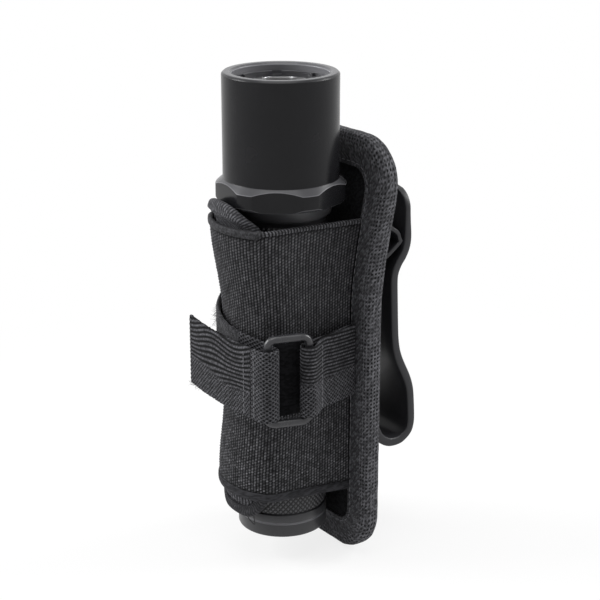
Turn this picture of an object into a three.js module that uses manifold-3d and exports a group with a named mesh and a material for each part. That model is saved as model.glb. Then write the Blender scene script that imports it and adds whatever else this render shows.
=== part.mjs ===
// A tactical flashlight carried head up in an elastic holster with a swivelling belt clip.
// Millimetres, +Z up along the light, -Y to the front, +X to the wearer's left.
// The light's own axis is x = 0, y = 0 and its tail end is z = 0 while the pieces are made.
// The finished group is then moved so that the origin lies on the clip plate's belt side.

import * as THREE from 'three';
import { mergeVertices } from 'three/addons/utils/BufferGeometryUtils.js';
import Module from 'manifold-3d';

const wasm = await Module();
wasm.setup();

// Clearances
const gap = 0.3;
const softGap = 0.25;
const overrun = 1;
const weldTolerance = 1e-4;

// Driving sizes of the light
const light = { length: 132, bodyRadius: 12.7, crest: 0.1 };
const head = { radius: 15.9, boreRadius: 13.1, barrelLength: 28.7, rimChamfer: 0.6 };
const collar = {
  cornerRadius: 17.9, flatRadius: 16.56, height: 6.3, topChamfer: 1.7, bottomChamfer: 0.8, wideHalfDeg: 22.3,
  turnDeg: 21.4,
};
const neck = { radius: 14.4, flareLength: 4.6, seam: 0.4 };
const tube = { innerRadius: 9.9, headThreadRadius: 12.3, headThreadLength: 7.4, ledgeRadius: 7.7, ledge: 1.4 };
const tail = {
  length: 24, ringHeight: 6.9, ringRadius: 12.8, grooveHeight: 4.2, grooveWidth: 0.5, grooveDepth: 0.3,
  edge: 0.5, threadRadius: 11.9, threadLength: 7.2, cavityRadius: 10.2, lipThickness: 2.4, lipRadius: 7.2,
  lipFlare: 1.6,
};
const boot = { wall: 0.9, flangeThickness: 0.9, recess: 0.4, bulge: 1.2 };
const button = { travel: 1.8, plungerRadius: 3.4, plungerLength: 4.2 };
const switchUnit = { height: 7.4, ringThickness: 1.8, ringHoleRadius: 6.8 };
const cell = { radius: 9.25, length: 65, terminalRadius: 3, terminalHeight: 1.3, edge: 0.8 };
const lamp = {
  stemRadius: 7.2, stemLength: 10, flangeRadius: 12.5, flangeThickness: 1.5, boardRadius: 5, boardThickness: 1.1,
  emitterSide: 3.45, emitterThickness: 0.7, domeRadius: 1.4,
};
const reflector = { rimRadius: 12.7, holeRadius: 2.9, flangeThickness: 1, wall: 1.1, bowlRadius: 12 };
const windowLens = { radius: 12.8, thickness: 1.6 };
const gasket = { ringRadius: 12.2, section: 0.35 };
const lensRing = { radius: 12.8, innerRadius: 11.4, height: 1.5, depth: 2.1, notchWidth: 2.6, notches: 6 };
const oRing = { section: 0.36 };
const tailSpring = { coilRadius: 4.6, wire: 0.45, curls: 4 };
const contactSpring = { coilRadius: 3, wire: 0.4, curls: 4 };
const groundSpring = { coilRadius: 8.55, wire: 0.4, curls: 3 };

// Driving sizes of the holster. Heights count down from the collar's underside, the mouth of the pouch,
// or up from the tail end of the light.
const panel = {
  halfWidth: 22.5, aboveMouth: 16.5, belowTail: 8.5, thickness: 5.3, frontY: 13.3, topCorner: 15,
  bottomCorner: 13, leanAboveSwivel: 8, leanEndAbove: 19, lean: 6.6, liningThickness: 1.3,
  stiffenerThickness: 0.6,
};
const tape = { thickness: 0.7, width: 9 };
const tongue = {
  halfWidth: 11.6, aboveMouth: 2.2, aboveTail: 6.3, topCorner: 11.2, bottomCorner: 8.5, innerRadius: 13.05,
  topFlare: 1.9, flareStartBelow: 25, flareEndBelow: 5, lipFlare: 3.35, lipStartBelow: 6, lipEndAbove: 0.2,
  bulge: 1.85, bulgeAbove: 0.7, bulgeHeight: 3.2, leanDeg: 4, leanBelow: 9, tapeThickness: 0.45,
  tapeWidth: 3.6, wrapRadius: 16.5, bandGap: 0.35, cornerRows: 10, tapeRows: 3,
};
const band = {
  thickness: 1, seamX: 14.7, sideX: 14.15, cornerX: 13.75, cornerEase: 1.2, seamTopBelow: 5.3, frontTopBelow: 4.4,
  seamBottom: 11.4, frontBottom: 13.4, waistRadius: 16.6, topRadius: 19.7, bottomRadius: 18.3, bottomFull: 17,
  waistAbove: 3.5, topFullBelow: 5,
};
const hem = { proud: 0.7, topHeight: 2.2, bottomHeight: 2.6 };

// Driving sizes of the retention strap. Its base climbs towards the left seam.
const webbing = {
  thickness: 1.2, width: 20.6, aboveTail: 50.4, eyeEase: 0.6, climbShare: 0.24, baseRise: 7.5, tailRise: 1.4,
  anchorRise: 1.6,
};
const ring = {
  wireRadius: 1.1, length: 11.94, nearOut: 0.85, farOut: 4.55, nearBack: 1.3, height: 23.7, cornerRadius: 2,
};
// The loose end of the strap leaves the light's front, as shares of the radius that it leaves.
const strapTailShares = [[-0.209, -1.008], [-0.55, -1.013], [-0.921, -0.984]];
const strapTailRiseShares = [0, 0, 0.1, 0.35, 0.65, 1];

// Driving sizes of the belt clip. Its heights count from the swivel's axis.
const clip = {
  width: 28, plateThickness: 2.1, bendThickness: 2.6, tipThickness: 2, depth: 15.7, belowSwivel: 38.05,
  armAbove: 39.3, plateAbove: 33, plateCorner: 2.5, armCorner: 6, splitGap: 0.4, edgeBevel: 0.4,
  plateClearance: 3.7,
};
// Centre line of the clip seen from the side, as shares of its depth and height.
const clipBendShares = [[0, 0.022], [-0.108, 0.0356], [-0.21, 0.0575], [-0.277, 0.086]];
const clipArmShares = [
  [0, 0.022], [0.102, 0.0168], [0.204, 0.0168], [0.293, 0.02], [0.408, 0.0336], [0.478, 0.0498],
  [0.51, 0.0718], [0.519, 0.0976], [0.503, 0.1558], [0.478, 0.2075], [0.433, 0.2437], [0.363, 0.2786],
  [0.2675, 0.3174], [0.188, 0.3523], [0.1306, 0.3885], [0.0955, 0.4337], [0.0764, 0.4919], [0.0573, 0.5824],
  [0.0446, 0.66], [0.0669, 0.6936], [0.14, 0.7246], [0.242, 0.7518], [0.312, 0.7815], [0.341, 0.8177],
  [0.334, 0.8798], [0.328, 0.9315], [0.325, 1],
];
const clipSplitShare = 0.395;
const barb = {
  width: 27.6, thickness: 1.2, rise: 7.3, peakAbove: 24.6, reachAbove: 8, reachBelow: 5.4, root: 0.5,
};
const swivel = {
  aboveTail: 58, flangeRadius: 13, flangeThickness: 1.9, postRadius: 6, washerThickness: 0.7, capRadius: 8,
  capThickness: 1.1, screwRadius: 2, screwHeadRadius: 3.6, rivets: 4, rivetCircle: 9.6, rivetRadius: 1,
  rivetHeadRadius: 1.7, rivetHead: 0.6,
};
const belt = { faceAboveSwivel: 14.5 };

// Heights along the light, worked out from the sizes above
const barrelBottomZ = light.length - head.barrelLength;
const collarBottomZ = barrelBottomZ - collar.height;
const neckTopZ = collarBottomZ - neck.seam;
const tubeTopZ = collarBottomZ + tube.headThreadLength;
const tubeShoulderZ = tail.length + gap;
const tubeBottomZ = tubeShoulderZ - tail.threadLength;
const cavityTopZ = tubeBottomZ - gap;
const switchRingBottomZ = cavityTopZ - switchUnit.ringThickness;
const switchTopZ = switchRingBottomZ - gap;
const switchBottomZ = switchTopZ - switchUnit.height;
const cellBottomZ = tubeBottomZ + tail.threadLength * share(0.56);
const cellTopZ = cellBottomZ + cell.length;
const terminalTopZ = cellTopZ + gap + cell.terminalHeight;
const lampFlangeBottomZ = tubeTopZ + gap;
const lampFlangeTopZ = lampFlangeBottomZ + lamp.flangeThickness;
const lampStemBottomZ = lampFlangeBottomZ - lamp.stemLength;
const boardBottomZ = lampFlangeTopZ + gap;
const boardTopZ = boardBottomZ + lamp.boardThickness;
const lensRingTopZ = light.length - lensRing.depth;
const lensRingBottomZ = lensRingTopZ - lensRing.height;
const lensTopZ = lensRingBottomZ - gap;
const lensBottomZ = lensTopZ - windowLens.thickness;
const gasketZ = lensBottomZ - gap - gasket.section;
const reflectorTopZ = gasketZ - gasket.section - gap;
const reflectorBottomZ = boardTopZ + gap;

// Heights of the holster
const mouthZ = collarBottomZ;
const strapZ = webbing.aboveTail;
const waistLowZ = strapZ - webbing.width / 2;
const waistHighZ = strapZ + webbing.width / 2;
const swivelZ = swivel.aboveTail;
const panelPlate = { ...panel, topZ: mouthZ + panel.aboveMouth, bottomZ: -panel.belowTail };
const tonguePlate = { ...tongue, topZ: mouthZ + tongue.aboveMouth, bottomZ: tongue.aboveTail };
const clipBottomZ = swivelZ - clip.belowSwivel;
const armTopZ = swivelZ + clip.armAbove;
const plateTopZ = swivelZ + clip.plateAbove;

// The clip plate stands behind the holster's flat back with room for the swivel.
const panelBackY = panel.frontY + panel.thickness;
const plateFrontY = panelBackY + clip.plateClearance;
const plateBackY = plateFrontY + clip.plateThickness;
const beltFaceZ = swivelZ + belt.faceAboveSwivel;

// Numbers of facets
const fine = 32;
const coarse = 20;
const small = 12;
const cornerSteps = 5;
const panelRows = 8;
const tongueRows = 12;
const bandRows = 14;
const edgeRows = 3;
const plateSamples = 24;
const armSamples = 52;
const springSteps = 8;
const springSides = 5;

function share(fraction) {
  return fraction;
}

// Materials

function material(name, colour, roughness, metalness) {
  const made = new THREE.MeshStandardMaterial({ color: colour, roughness, metalness });
  made.name = name;
  return made;
}

const anodised = material('hard anodised aluminium', 0x222224, 0.42, 0.6);
const knurled = material('knurled anodised aluminium', 0x1e1e20, 0.5, 0.6);
const mirrorMetal = material('aluminised reflector', 0xd8dadc, 0.08, 1);
const glass = material('window glass', 0xdfe8ea, 0.03, 0);
glass.transparent = true;
glass.opacity = 0.3;
const springSteel = material('spring steel', 0x9a9c9e, 0.3, 0.95);
const brass = material('brass', 0xb08d4a, 0.35, 0.9);
const rubber = material('nitrile rubber', 0x161616, 0.8, 0);
const boardFinish = material('circuit board', 0xe7e7e2, 0.5, 0);
const phosphor = material('led phosphor', 0xd9c862, 0.4, 0);
const cellWrap = material('cell wrap', 0x2d4c63, 0.4, 0);
const nylonFabric = material('nylon fabric', 0x29292b, 0.9, 0);
const nylonTape = material('nylon binding tape', 0x2d2d2f, 0.85, 0);
const elastic = material('ribbed elastic', 0x2b2b2d, 0.9, 0);
const webbingFinish = material('nylon webbing', 0x303032, 0.85, 0);
const pile = material('loop pile', 0x343436, 0.95, 0);
const sheetPlastic = material('stiffener sheet', 0x1b1b1d, 0.5, 0);
const clipPlastic = material('moulded clip plastic', 0x29292b, 0.45, 0);
const blackWire = material('black coated wire', 0x2a2a2c, 0.35, 0.7);

// Geometry helpers

// Turns a geometry inside out if its faces point inwards.
function outward(geometry) {
  const shape = geometry.index ? geometry.toNonIndexed() : geometry;
  const bare = new THREE.BufferGeometry();
  bare.setAttribute('position', shape.getAttribute('position').clone());
  const merged = mergeVertices(bare, weldTolerance);
  const place = merged.getAttribute('position');
  const kept = [];
  let volume = 0;
  const a = new THREE.Vector3();
  const b = new THREE.Vector3();
  const c = new THREE.Vector3();
  for (let i = 0; i < merged.index.count; i += 3) {
    const [p, q, r] = [merged.index.getX(i), merged.index.getX(i + 1), merged.index.getX(i + 2)];
    if (p === q || q === r || r === p) continue;
    kept.push(p, q, r);
    a.fromBufferAttribute(place, p);
    b.fromBufferAttribute(place, q);
    c.fromBufferAttribute(place, r);
    volume += a.dot(b.cross(c));
  }
  if (volume < 0) kept.reverse();
  merged.setIndex(kept);
  return merged;
}

// Spins a closed profile of [radius, height] points about the Z axis.
function turned(profile, segments = fine) {
  const first = profile[0];
  const last = profile[profile.length - 1];
  const onAxis = first[0] === 0 && last[0] === 0;
  const points = profile.map(([radius, height]) => new THREE.Vector2(radius, height));
  if (!onAxis) points.push(points[0].clone());
  const geometry = new THREE.LatheGeometry(points, segments);
  geometry.rotateX(Math.PI / 2);
  return outward(geometry);
}

// Joins rings of points into a solid. Each ring lists one edge forwards and the other backwards.
function lofted(rings, closedPath = false) {
  const count = rings[0].length;
  const positions = rings.flat(2);
  const index = [];
  const spans = closedPath ? rings.length : rings.length - 1;
  for (let i = 0; i < spans; i += 1) {
    const here = i * count;
    const next = ((i + 1) % rings.length) * count;
    for (let k = 0; k < count; k += 1) {
      const l = (k + 1) % count;
      index.push(here + k, here + l, next + l, here + k, next + l, next + k);
    }
  }
  if (!closedPath) {
    ladderCap(index, 0, count, false);
    ladderCap(index, (rings.length - 1) * count, count, true);
  }
  const geometry = new THREE.BufferGeometry();
  geometry.setAttribute('position', new THREE.Float32BufferAttribute(positions, 3));
  geometry.setIndex(index);
  return outward(geometry);
}

function ladderCap(index, start, count, forwards) {
  for (let k = 0; k < count / 2 - 1; k += 1) {
    const corners = [start + k, start + k + 1, start + count - 2 - k, start + count - 1 - k];
    const [a, b, c, d] = forwards ? corners : [...corners].reverse();
    index.push(a, b, c, a, c, d);
  }
}

function toManifold(geometry) {
  const bare = outward(geometry);
  return new wasm.Manifold(new wasm.Mesh({
    numProp: 3,
    vertProperties: new Float32Array(bare.getAttribute('position').array),
    triVerts: new Uint32Array(bare.index.array),
  }));
}

function fromManifold(solid) {
  const { vertProperties, triVerts } = solid.getMesh();
  const geometry = new THREE.BufferGeometry();
  geometry.setAttribute('position', new THREE.Float32BufferAttribute(vertProperties, 3));
  geometry.setIndex(Array.from(triVerts));
  return geometry;
}

function without(geometry, cutters) {
  let solid = toManifold(geometry);
  for (const cutter of cutters) solid = solid.subtract(toManifold(cutter));
  return fromManifold(solid);
}

function joined(geometries) {
  let solid = toManifold(geometries[0]);
  for (const other of geometries.slice(1)) solid = solid.add(toManifold(other));
  return fromManifold(solid);
}

function common(geometry, other) {
  return fromManifold(toManifold(geometry).intersect(toManifold(other)));
}

// Gives a geometry the facet normals that the finished mesh shows.
function finished(geometry) {
  const facets = geometry.index ? geometry.toNonIndexed() : geometry;
  facets.computeVertexNormals();
  return facets;
}

const outfit = new THREE.Group();
outfit.name = 'flashlight_in_holster';

function add(name, geometry, finish) {
  const mesh = new THREE.Mesh(finished(geometry), finish);
  mesh.name = name;
  outfit.add(mesh);
  return mesh;
}

// A cylinder along Y, given by its axis and its two ends.
function peg(x, z, radius, fromY, toY, segments = small) {
  const geometry = new THREE.CylinderGeometry(radius, radius, toY - fromY, segments);
  geometry.translate(x, (fromY + toY) / 2, z);
  return geometry;
}

// Part of a circle about a centre, as a list of [x, y] points.
function arc([centreX, centreY], radius, fromDeg, toDeg, steps) {
  return Array.from({ length: steps + 1 }, (_, i) => {
    const angle = THREE.MathUtils.degToRad(fromDeg + (toDeg - fromDeg) * i / steps);
    return [centreX + radius * Math.cos(angle), centreY + radius * Math.sin(angle)];
  });
}

function smooth(value, low, high) {
  return THREE.MathUtils.smoothstep(value, low, high);
}

// Head of the light

// The collar is a hexagon whose corners are trimmed round the same centre.
function collarPrism() {
  const outline = new THREE.Shape();
  const sides = lensRing.notches;
  for (let i = 0; i < sides; i += 1) {
    for (const side of [-1, 1]) {
      const angle = THREE.MathUtils.degToRad(collar.turnDeg + side * collar.wideHalfDeg) + i * 2 * Math.PI / sides;
      const reach = collar.flatRadius / Math.cos(THREE.MathUtils.degToRad(collar.wideHalfDeg));
      const point = [reach * Math.cos(angle), reach * Math.sin(angle)];
      if (i === 0 && side === -1) outline.moveTo(...point);
      else outline.lineTo(...point);
    }
  }
  const geometry = new THREE.ExtrudeGeometry(outline, { depth: collar.height + 2 * overrun, bevelEnabled: false });
  geometry.translate(0, 0, collarBottomZ - overrun);
  return geometry;
}

function makeHead() {
  const collarBlank = turned([
    [0, collarBottomZ],
    [collar.cornerRadius - collar.bottomChamfer, collarBottomZ],
    [collar.cornerRadius, collarBottomZ + collar.bottomChamfer],
    [collar.cornerRadius, barrelBottomZ - collar.topChamfer],
    [head.radius, barrelBottomZ],
    [0, barrelBottomZ],
  ]);
  const barrel = turned([
    [0, barrelBottomZ - overrun],
    [head.radius, barrelBottomZ - overrun],
    [head.radius, light.length - head.rimChamfer],
    [head.radius - head.rimChamfer, light.length],
    [0, light.length],
  ]);
  const bore = turned([
    [0, collarBottomZ - overrun],
    [tube.headThreadRadius + gap, collarBottomZ - overrun],
    [tube.headThreadRadius + gap, lampFlangeBottomZ - gap],
    [head.boreRadius, lampFlangeBottomZ - gap],
    [head.boreRadius, light.length - head.rimChamfer],
    [head.boreRadius + head.rimChamfer, light.length],
    [head.boreRadius + head.rimChamfer, light.length + overrun],
    [0, light.length + overrun],
  ]);
  const hexagon = common(collarBlank, collarPrism());
  add('head', without(joined([barrel, hexagon]), [bore]), anodised);
}

function makeLensRing() {
  const blank = turned([
    [lensRing.innerRadius, lensRingBottomZ],
    [lensRing.radius, lensRingBottomZ],
    [lensRing.radius, lensRingTopZ],
    [lensRing.innerRadius, lensRingTopZ],
  ]);
  const notchDepth = lensRing.height * share(0.6);
  const notchLength = (lensRing.radius - lensRing.innerRadius) * share(0.6);
  const cutters = Array.from({ length: lensRing.notches }, (_, i) => {
    const cutter = new THREE.BoxGeometry(notchLength + overrun, lensRing.notchWidth, notchDepth + overrun);
    cutter.translate(
      lensRing.innerRadius + (notchLength - overrun) / 2, 0, lensRingTopZ + (overrun - notchDepth) / 2,
    );
    cutter.rotateZ(i * 2 * Math.PI / lensRing.notches + Math.PI / lensRing.notches);
    return cutter;
  });
  add('lens_retaining_ring', without(blank, cutters), anodised);
}

function makeWindow() {
  add('window_lens', turned([
    [0, lensBottomZ], [windowLens.radius, lensBottomZ], [windowLens.radius, lensTopZ], [0, lensTopZ],
  ]), glass);
  add('window_gasket', turnedRing(gasket.ringRadius, gasketZ, gasket.section), rubber);
}

function turnedRing(ringRadius, z, section, sides = springSides, segments = coarse) {
  return turned(arc([ringRadius, z], section, 0, 360 * (sides - 1) / sides, sides - 1), segments);
}

function makeReflector() {
  const depth = reflectorTopZ - reflectorBottomZ;
  const bowlShares = [0.03, 0.12, 0.3, 0.55, 0.8, 1];
  const inner = bowlShares.map((rise) => [
    reflector.holeRadius + (reflector.bowlRadius - reflector.holeRadius) * Math.sqrt(rise),
    reflectorBottomZ + depth * rise,
  ]);
  const outer = inner.slice(0, -1).reverse().map(([radius, z]) => [
    Math.min(radius + reflector.wall, reflector.rimRadius),
    Math.min(z, reflectorTopZ - reflector.flangeThickness),
  ]);
  const footZ = reflectorBottomZ;
  add('reflector', turned([
    [reflector.holeRadius, footZ],
    ...inner,
    [reflector.rimRadius, reflectorTopZ],
    [reflector.rimRadius, reflectorTopZ - reflector.flangeThickness],
    ...outer,
    [outer[outer.length - 1][0], footZ],
  ], coarse), mirrorMetal);
}

function makeLamp() {
  add('lamp_body', turned([
    [0, lampStemBottomZ],
    [lamp.stemRadius, lampStemBottomZ],
    [lamp.stemRadius, lampFlangeBottomZ],
    [lamp.flangeRadius, lampFlangeBottomZ],
    [lamp.flangeRadius, lampFlangeTopZ],
    [0, lampFlangeTopZ],
  ]), brass);
  add('led_board', turned([
    [0, boardBottomZ], [lamp.boardRadius, boardBottomZ], [lamp.boardRadius, boardTopZ], [0, boardTopZ],
  ], coarse), boardFinish);
  const base = new THREE.BoxGeometry(lamp.emitterSide, lamp.emitterSide, lamp.emitterThickness);
  const emitterZ = boardTopZ + gap;
  base.translate(0, 0, emitterZ + lamp.emitterThickness / 2);
  const domeBase = emitterZ + lamp.emitterThickness;
  const dome = turned([
    [0, domeBase - lamp.emitterThickness / 2],
    [lamp.domeRadius, domeBase - lamp.emitterThickness / 2],
    ...arc([0, domeBase], lamp.domeRadius, 0, 75, 4),
    [0, domeBase + lamp.domeRadius],
  ], coarse);
  add('led_emitter', joined([base, dome]), phosphor);
}

// Body of the light

function makeBatteryTube() {
  const oRingZ = tubeTopZ - tube.headThreadLength * share(0.45);
  const tailOuter = tail.threadRadius - gap;
  const tailRingZ = tubeBottomZ + tail.threadLength * share(0.6);
  const groove = oRing.section * 2 + gap;
  const ledgeTopZ = lampStemBottomZ + tube.ledge + gap;
  add('battery_tube', turned([
    [tube.innerRadius, tubeBottomZ],
    [tailOuter, tubeBottomZ],
    ...grooveProfile(tailOuter, tailRingZ, groove),
    [tailOuter, tubeShoulderZ],
    [light.bodyRadius - light.crest, tubeShoulderZ],
    [light.bodyRadius - light.crest, neckTopZ - neck.flareLength],
    ...arc([neck.radius, neckTopZ - neck.flareLength], neck.radius - light.bodyRadius + light.crest, 180, 110, 4),
    [neck.radius, neckTopZ],
    [tube.headThreadRadius, neckTopZ],
    ...grooveProfile(tube.headThreadRadius, oRingZ, groove),
    [tube.headThreadRadius, tubeTopZ],
    [tube.innerRadius, tubeTopZ],
    [tube.innerRadius, ledgeTopZ],
    [tube.ledgeRadius, ledgeTopZ],
    [tube.ledgeRadius, ledgeTopZ - tube.ledge],
    [tube.innerRadius, ledgeTopZ - tube.ledge],
  ]), knurled);
  add('head_o_ring', turnedRing(oRingRadius(tube.headThreadRadius), oRingZ, oRing.section), rubber);
  add('tail_o_ring', turnedRing(oRingRadius(tailOuter), tailRingZ, oRing.section), rubber);
  return ledgeTopZ;
}

// An O-ring sits in its groove with its outside level with the thread crest.
function oRingRadius(crestRadius) {
  return crestRadius - oRing.section;
}

function grooveProfile(radius, z, width) {
  const floor = radius - 2 * oRing.section - gap;
  return [[radius, z - width / 2], [floor, z - width / 2], [floor, z + width / 2], [radius, z + width / 2]];
}

function makeCell() {
  add('battery_cell', turned([
    [0, cellBottomZ],
    [cell.radius - cell.edge, cellBottomZ],
    [cell.radius, cellBottomZ + cell.edge],
    [cell.radius, cellTopZ - cell.edge],
    [cell.radius - cell.edge, cellTopZ],
    [0, cellTopZ],
  ], coarse), cellWrap);
  add('battery_terminal', turned([
    [0, cellTopZ + gap],
    [cell.terminalRadius, cellTopZ + gap],
    [cell.terminalRadius, terminalTopZ],
    [0, terminalTopZ],
  ], coarse), springSteel);
}

// A helical spring whose wire is centred between two heights.
class Helix extends THREE.Curve {
  constructor(radius, lowZ, highZ, curls) {
    super();
    this.radius = radius;
    this.lowZ = lowZ;
    this.highZ = highZ;
    this.curls = curls;
  }

  getPoint(t, target = new THREE.Vector3()) {
    const angle = t * this.curls * 2 * Math.PI;
    const z = THREE.MathUtils.lerp(this.lowZ, this.highZ, t);
    return target.set(this.radius * Math.cos(angle), this.radius * Math.sin(angle), z);
  }
}

function addSpring(name, spring, lowZ, highZ) {
  const turn = 360 * (springSides - 1) / springSides;
  const corners = arc([0, 0], spring.wire, 0, turn, springSides - 1);
  const section = new THREE.Shape(corners.map(([x, y]) => new THREE.Vector2(x, y)));
  const path = new Helix(spring.coilRadius, lowZ + gap + spring.wire, highZ - gap - spring.wire, spring.curls);
  const geometry = new THREE.ExtrudeGeometry(section, {
    steps: spring.curls * springSteps, extrudePath: path, bevelEnabled: false,
  });
  add(name, geometry, springSteel);
}

// Tail of the light

function makeTailCap() {
  const knurlRadius = light.bodyRadius - light.crest;
  const lipTopZ = tail.lipThickness;
  const grooveLow = tail.grooveHeight - tail.grooveWidth / 2;
  const grooveHigh = tail.grooveHeight + tail.grooveWidth / 2;
  add('tail_cap', turned([
    [tail.lipRadius, lipTopZ],
    [tail.lipRadius, tail.lipFlare],
    [tail.lipRadius + tail.lipFlare, 0],
    [tail.ringRadius - tail.edge, 0],
    [tail.ringRadius, tail.edge],
    [tail.ringRadius, grooveLow],
    [tail.ringRadius - tail.grooveDepth, tail.grooveHeight],
    [tail.ringRadius, grooveHigh],
    [tail.ringRadius, tail.ringHeight - tail.grooveDepth],
    [knurlRadius, tail.ringHeight],
    [knurlRadius, tail.length],
    [tail.threadRadius, tail.length],
    [tail.threadRadius, cavityTopZ],
    [tail.cavityRadius, cavityTopZ],
    [tail.cavityRadius, lipTopZ],
  ]), anodised);
}

function makeSwitch() {
  const bodyRadius = tail.cavityRadius - gap;
  const wellRadius = button.plungerRadius + gap;
  const plungerTopZ = switchBottomZ + button.plungerLength * share(0.4);
  const wellTopZ = plungerTopZ + button.travel + gap;
  add('switch_body', turned([
    [0, wellTopZ],
    [wellRadius, wellTopZ],
    [wellRadius, switchBottomZ],
    [bodyRadius, switchBottomZ],
    [bodyRadius, switchTopZ],
    [0, switchTopZ],
  ], coarse), sheetPlastic);
  add('switch_retaining_ring', turned([
    [switchUnit.ringHoleRadius, switchRingBottomZ],
    [bodyRadius, switchRingBottomZ],
    [bodyRadius, cavityTopZ],
    [switchUnit.ringHoleRadius, cavityTopZ],
  ], coarse), brass);

  const flangeLowZ = tail.lipThickness + gap;
  const flangeHighZ = flangeLowZ + boot.flangeThickness;
  const domeRadius = tail.lipRadius - gap;
  const domeLowZ = boot.recess;
  const dome = arc([0, domeLowZ + boot.bulge], domeRadius, 270, 360, 6).map(([radius, z]) => [
    Math.max(radius, 0), domeLowZ + (z - domeLowZ - boot.bulge + domeRadius) * boot.bulge / domeRadius,
  ]);
  dome[0][0] = 0;
  add('switch_boot', turned([
    ...dome,
    [domeRadius, flangeLowZ],
    [bodyRadius, flangeLowZ],
    [bodyRadius, flangeHighZ],
    [domeRadius - boot.wall, flangeHighZ],
    [domeRadius - boot.wall, domeLowZ + boot.bulge + boot.wall],
    [0, domeLowZ + boot.bulge + boot.wall],
  ], coarse), rubber);
  const plungerLowZ = domeLowZ + boot.bulge + boot.wall + gap;
  add('switch_plunger', turned([
    [0, plungerLowZ],
    [button.plungerRadius, plungerLowZ],
    [button.plungerRadius, plungerTopZ],
    [0, plungerTopZ],
  ], coarse), sheetPlastic);
}

// Back panel of the holster

function leanAt(z) {
  return panel.lean * smooth(z, swivelZ + panel.leanAboveSwivel, mouthZ + panel.leanEndAbove);
}

// Half the width of a rounded plate at one height.
function halfWidthAt(z, plate) {
  const { halfWidth, topZ, bottomZ, topCorner, bottomCorner } = plate;
  const [corner, depth] = z > (topZ + bottomZ) / 2
    ? [topCorner, z - (topZ - topCorner)]
    : [bottomCorner, bottomZ + bottomCorner - z];
  if (depth <= 0) return halfWidth;
  return halfWidth - corner + Math.sqrt(Math.max(corner * corner - depth * depth, 0));
}

function inset(plate, distance) {
  return {
    halfWidth: plate.halfWidth - distance,
    topZ: plate.topZ - distance,
    bottomZ: plate.bottomZ + distance,
    topCorner: Math.max(plate.topCorner - distance, distance),
    bottomCorner: Math.max(plate.bottomCorner - distance, distance),
    cornerRows: plate.cornerRows,
  };
}

// Heights of a plate's rows, close together in its rounded corners.
function rowHeights(plate, straightRows) {
  const { topZ, bottomZ, topCorner, bottomCorner, cornerRows = cornerSteps } = plate;
  const low = arc([0, bottomZ + bottomCorner], bottomCorner, 270, 360, cornerRows).map(([, z]) => z);
  const high = arc([0, topZ - topCorner], topCorner, 0, 90, cornerRows).map(([, z]) => z);
  const from = low[low.length - 1];
  const to = high[0];
  const middle = Array.from({ length: straightRows }, (_, i) => from + (to - from) * (i + 1) / (straightRows + 1));
  return [...low, ...middle, ...high];
}

// A flat layer that follows the panel's lean, between two depths behind its front face.
function panelLayer(plate, fromDepth, toDepth) {
  const rings = rowHeights(plate, panelRows).map((z) => {
    const reach = halfWidthAt(z, plate);
    const front = panel.frontY + leanAt(z) + fromDepth;
    const back = panel.frontY + leanAt(z) + toDepth;
    return [[-reach, front, z], [reach, front, z], [reach, back, z], [-reach, back, z]];
  });
  return lofted(rings);
}

// Points round a rounded plate, each with its outward direction.
function roundedOutline(plate, straightRows, flatRows) {
  const { halfWidth, topZ, bottomZ, topCorner, bottomCorner, cornerRows = cornerSteps } = plate;
  const corners = [
    { x: halfWidth - topCorner, z: topZ - topCorner, radius: topCorner, from: 0 },
    { x: topCorner - halfWidth, z: topZ - topCorner, radius: topCorner, from: 90 },
    { x: bottomCorner - halfWidth, z: bottomZ + bottomCorner, radius: bottomCorner, from: 180 },
    { x: halfWidth - bottomCorner, z: bottomZ + bottomCorner, radius: bottomCorner, from: 270 },
  ];
  const outline = [];
  corners.forEach((corner, number) => {
    for (let i = 0; i <= cornerRows; i += 1) {
      const angle = THREE.MathUtils.degToRad(corner.from + 90 * i / cornerRows);
      const [nx, nz] = [Math.cos(angle), Math.sin(angle)];
      outline.push({ x: corner.x + corner.radius * nx, z: corner.z + corner.radius * nz, nx, nz });
    }
    const from = outline[outline.length - 1];
    const toX = -from.x;
    const toZ = number === 1 ? bottomZ + bottomCorner : topZ - topCorner;
    const upright = number % 2 === 1;
    const steps = upright ? straightRows : flatRows;
    for (let i = 1; i <= steps; i += 1) {
      const part = i / (steps + 1);
      const x = upright ? from.x : THREE.MathUtils.lerp(from.x, toX, part);
      const z = upright ? THREE.MathUtils.lerp(from.z, toZ, part) : from.z;
      outline.push({ ...from, x, z });
    }
  });
  return outline;
}

// A folded tape round the edge of a plate. place() maps width, height and depth to a point.
function boundEdge(plate, width, tapeThickness, depthAt, place, straightRows) {
  const { tapeRows = 1 } = plate;
  const rings = roundedOutline(plate, straightRows, edgeRows).map(({ x, z, nx, nz }) => {
    const section = (inward, whichDepth) => {
      const [px, pz] = [x - inward * nx, z - inward * nz];
      const total = depthAt(pz);
      const depths = { front: 0, frontInside: tapeThickness, backInside: total - tapeThickness, back: total };
      return place(px, pz, depths[whichDepth]);
    };
    const face = (from, to, whichDepth) => Array.from({ length: tapeRows + 1 }, (_, i) => (
      section(THREE.MathUtils.lerp(from, to, i / tapeRows), whichDepth)
    ));
    return [
      ...face(width, 0, 'front'), ...face(0, width, 'back'),
      ...face(width, tapeThickness, 'backInside'), ...face(tapeThickness, width, 'frontInside'),
    ];
  });
  return lofted(rings, true);
}

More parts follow.
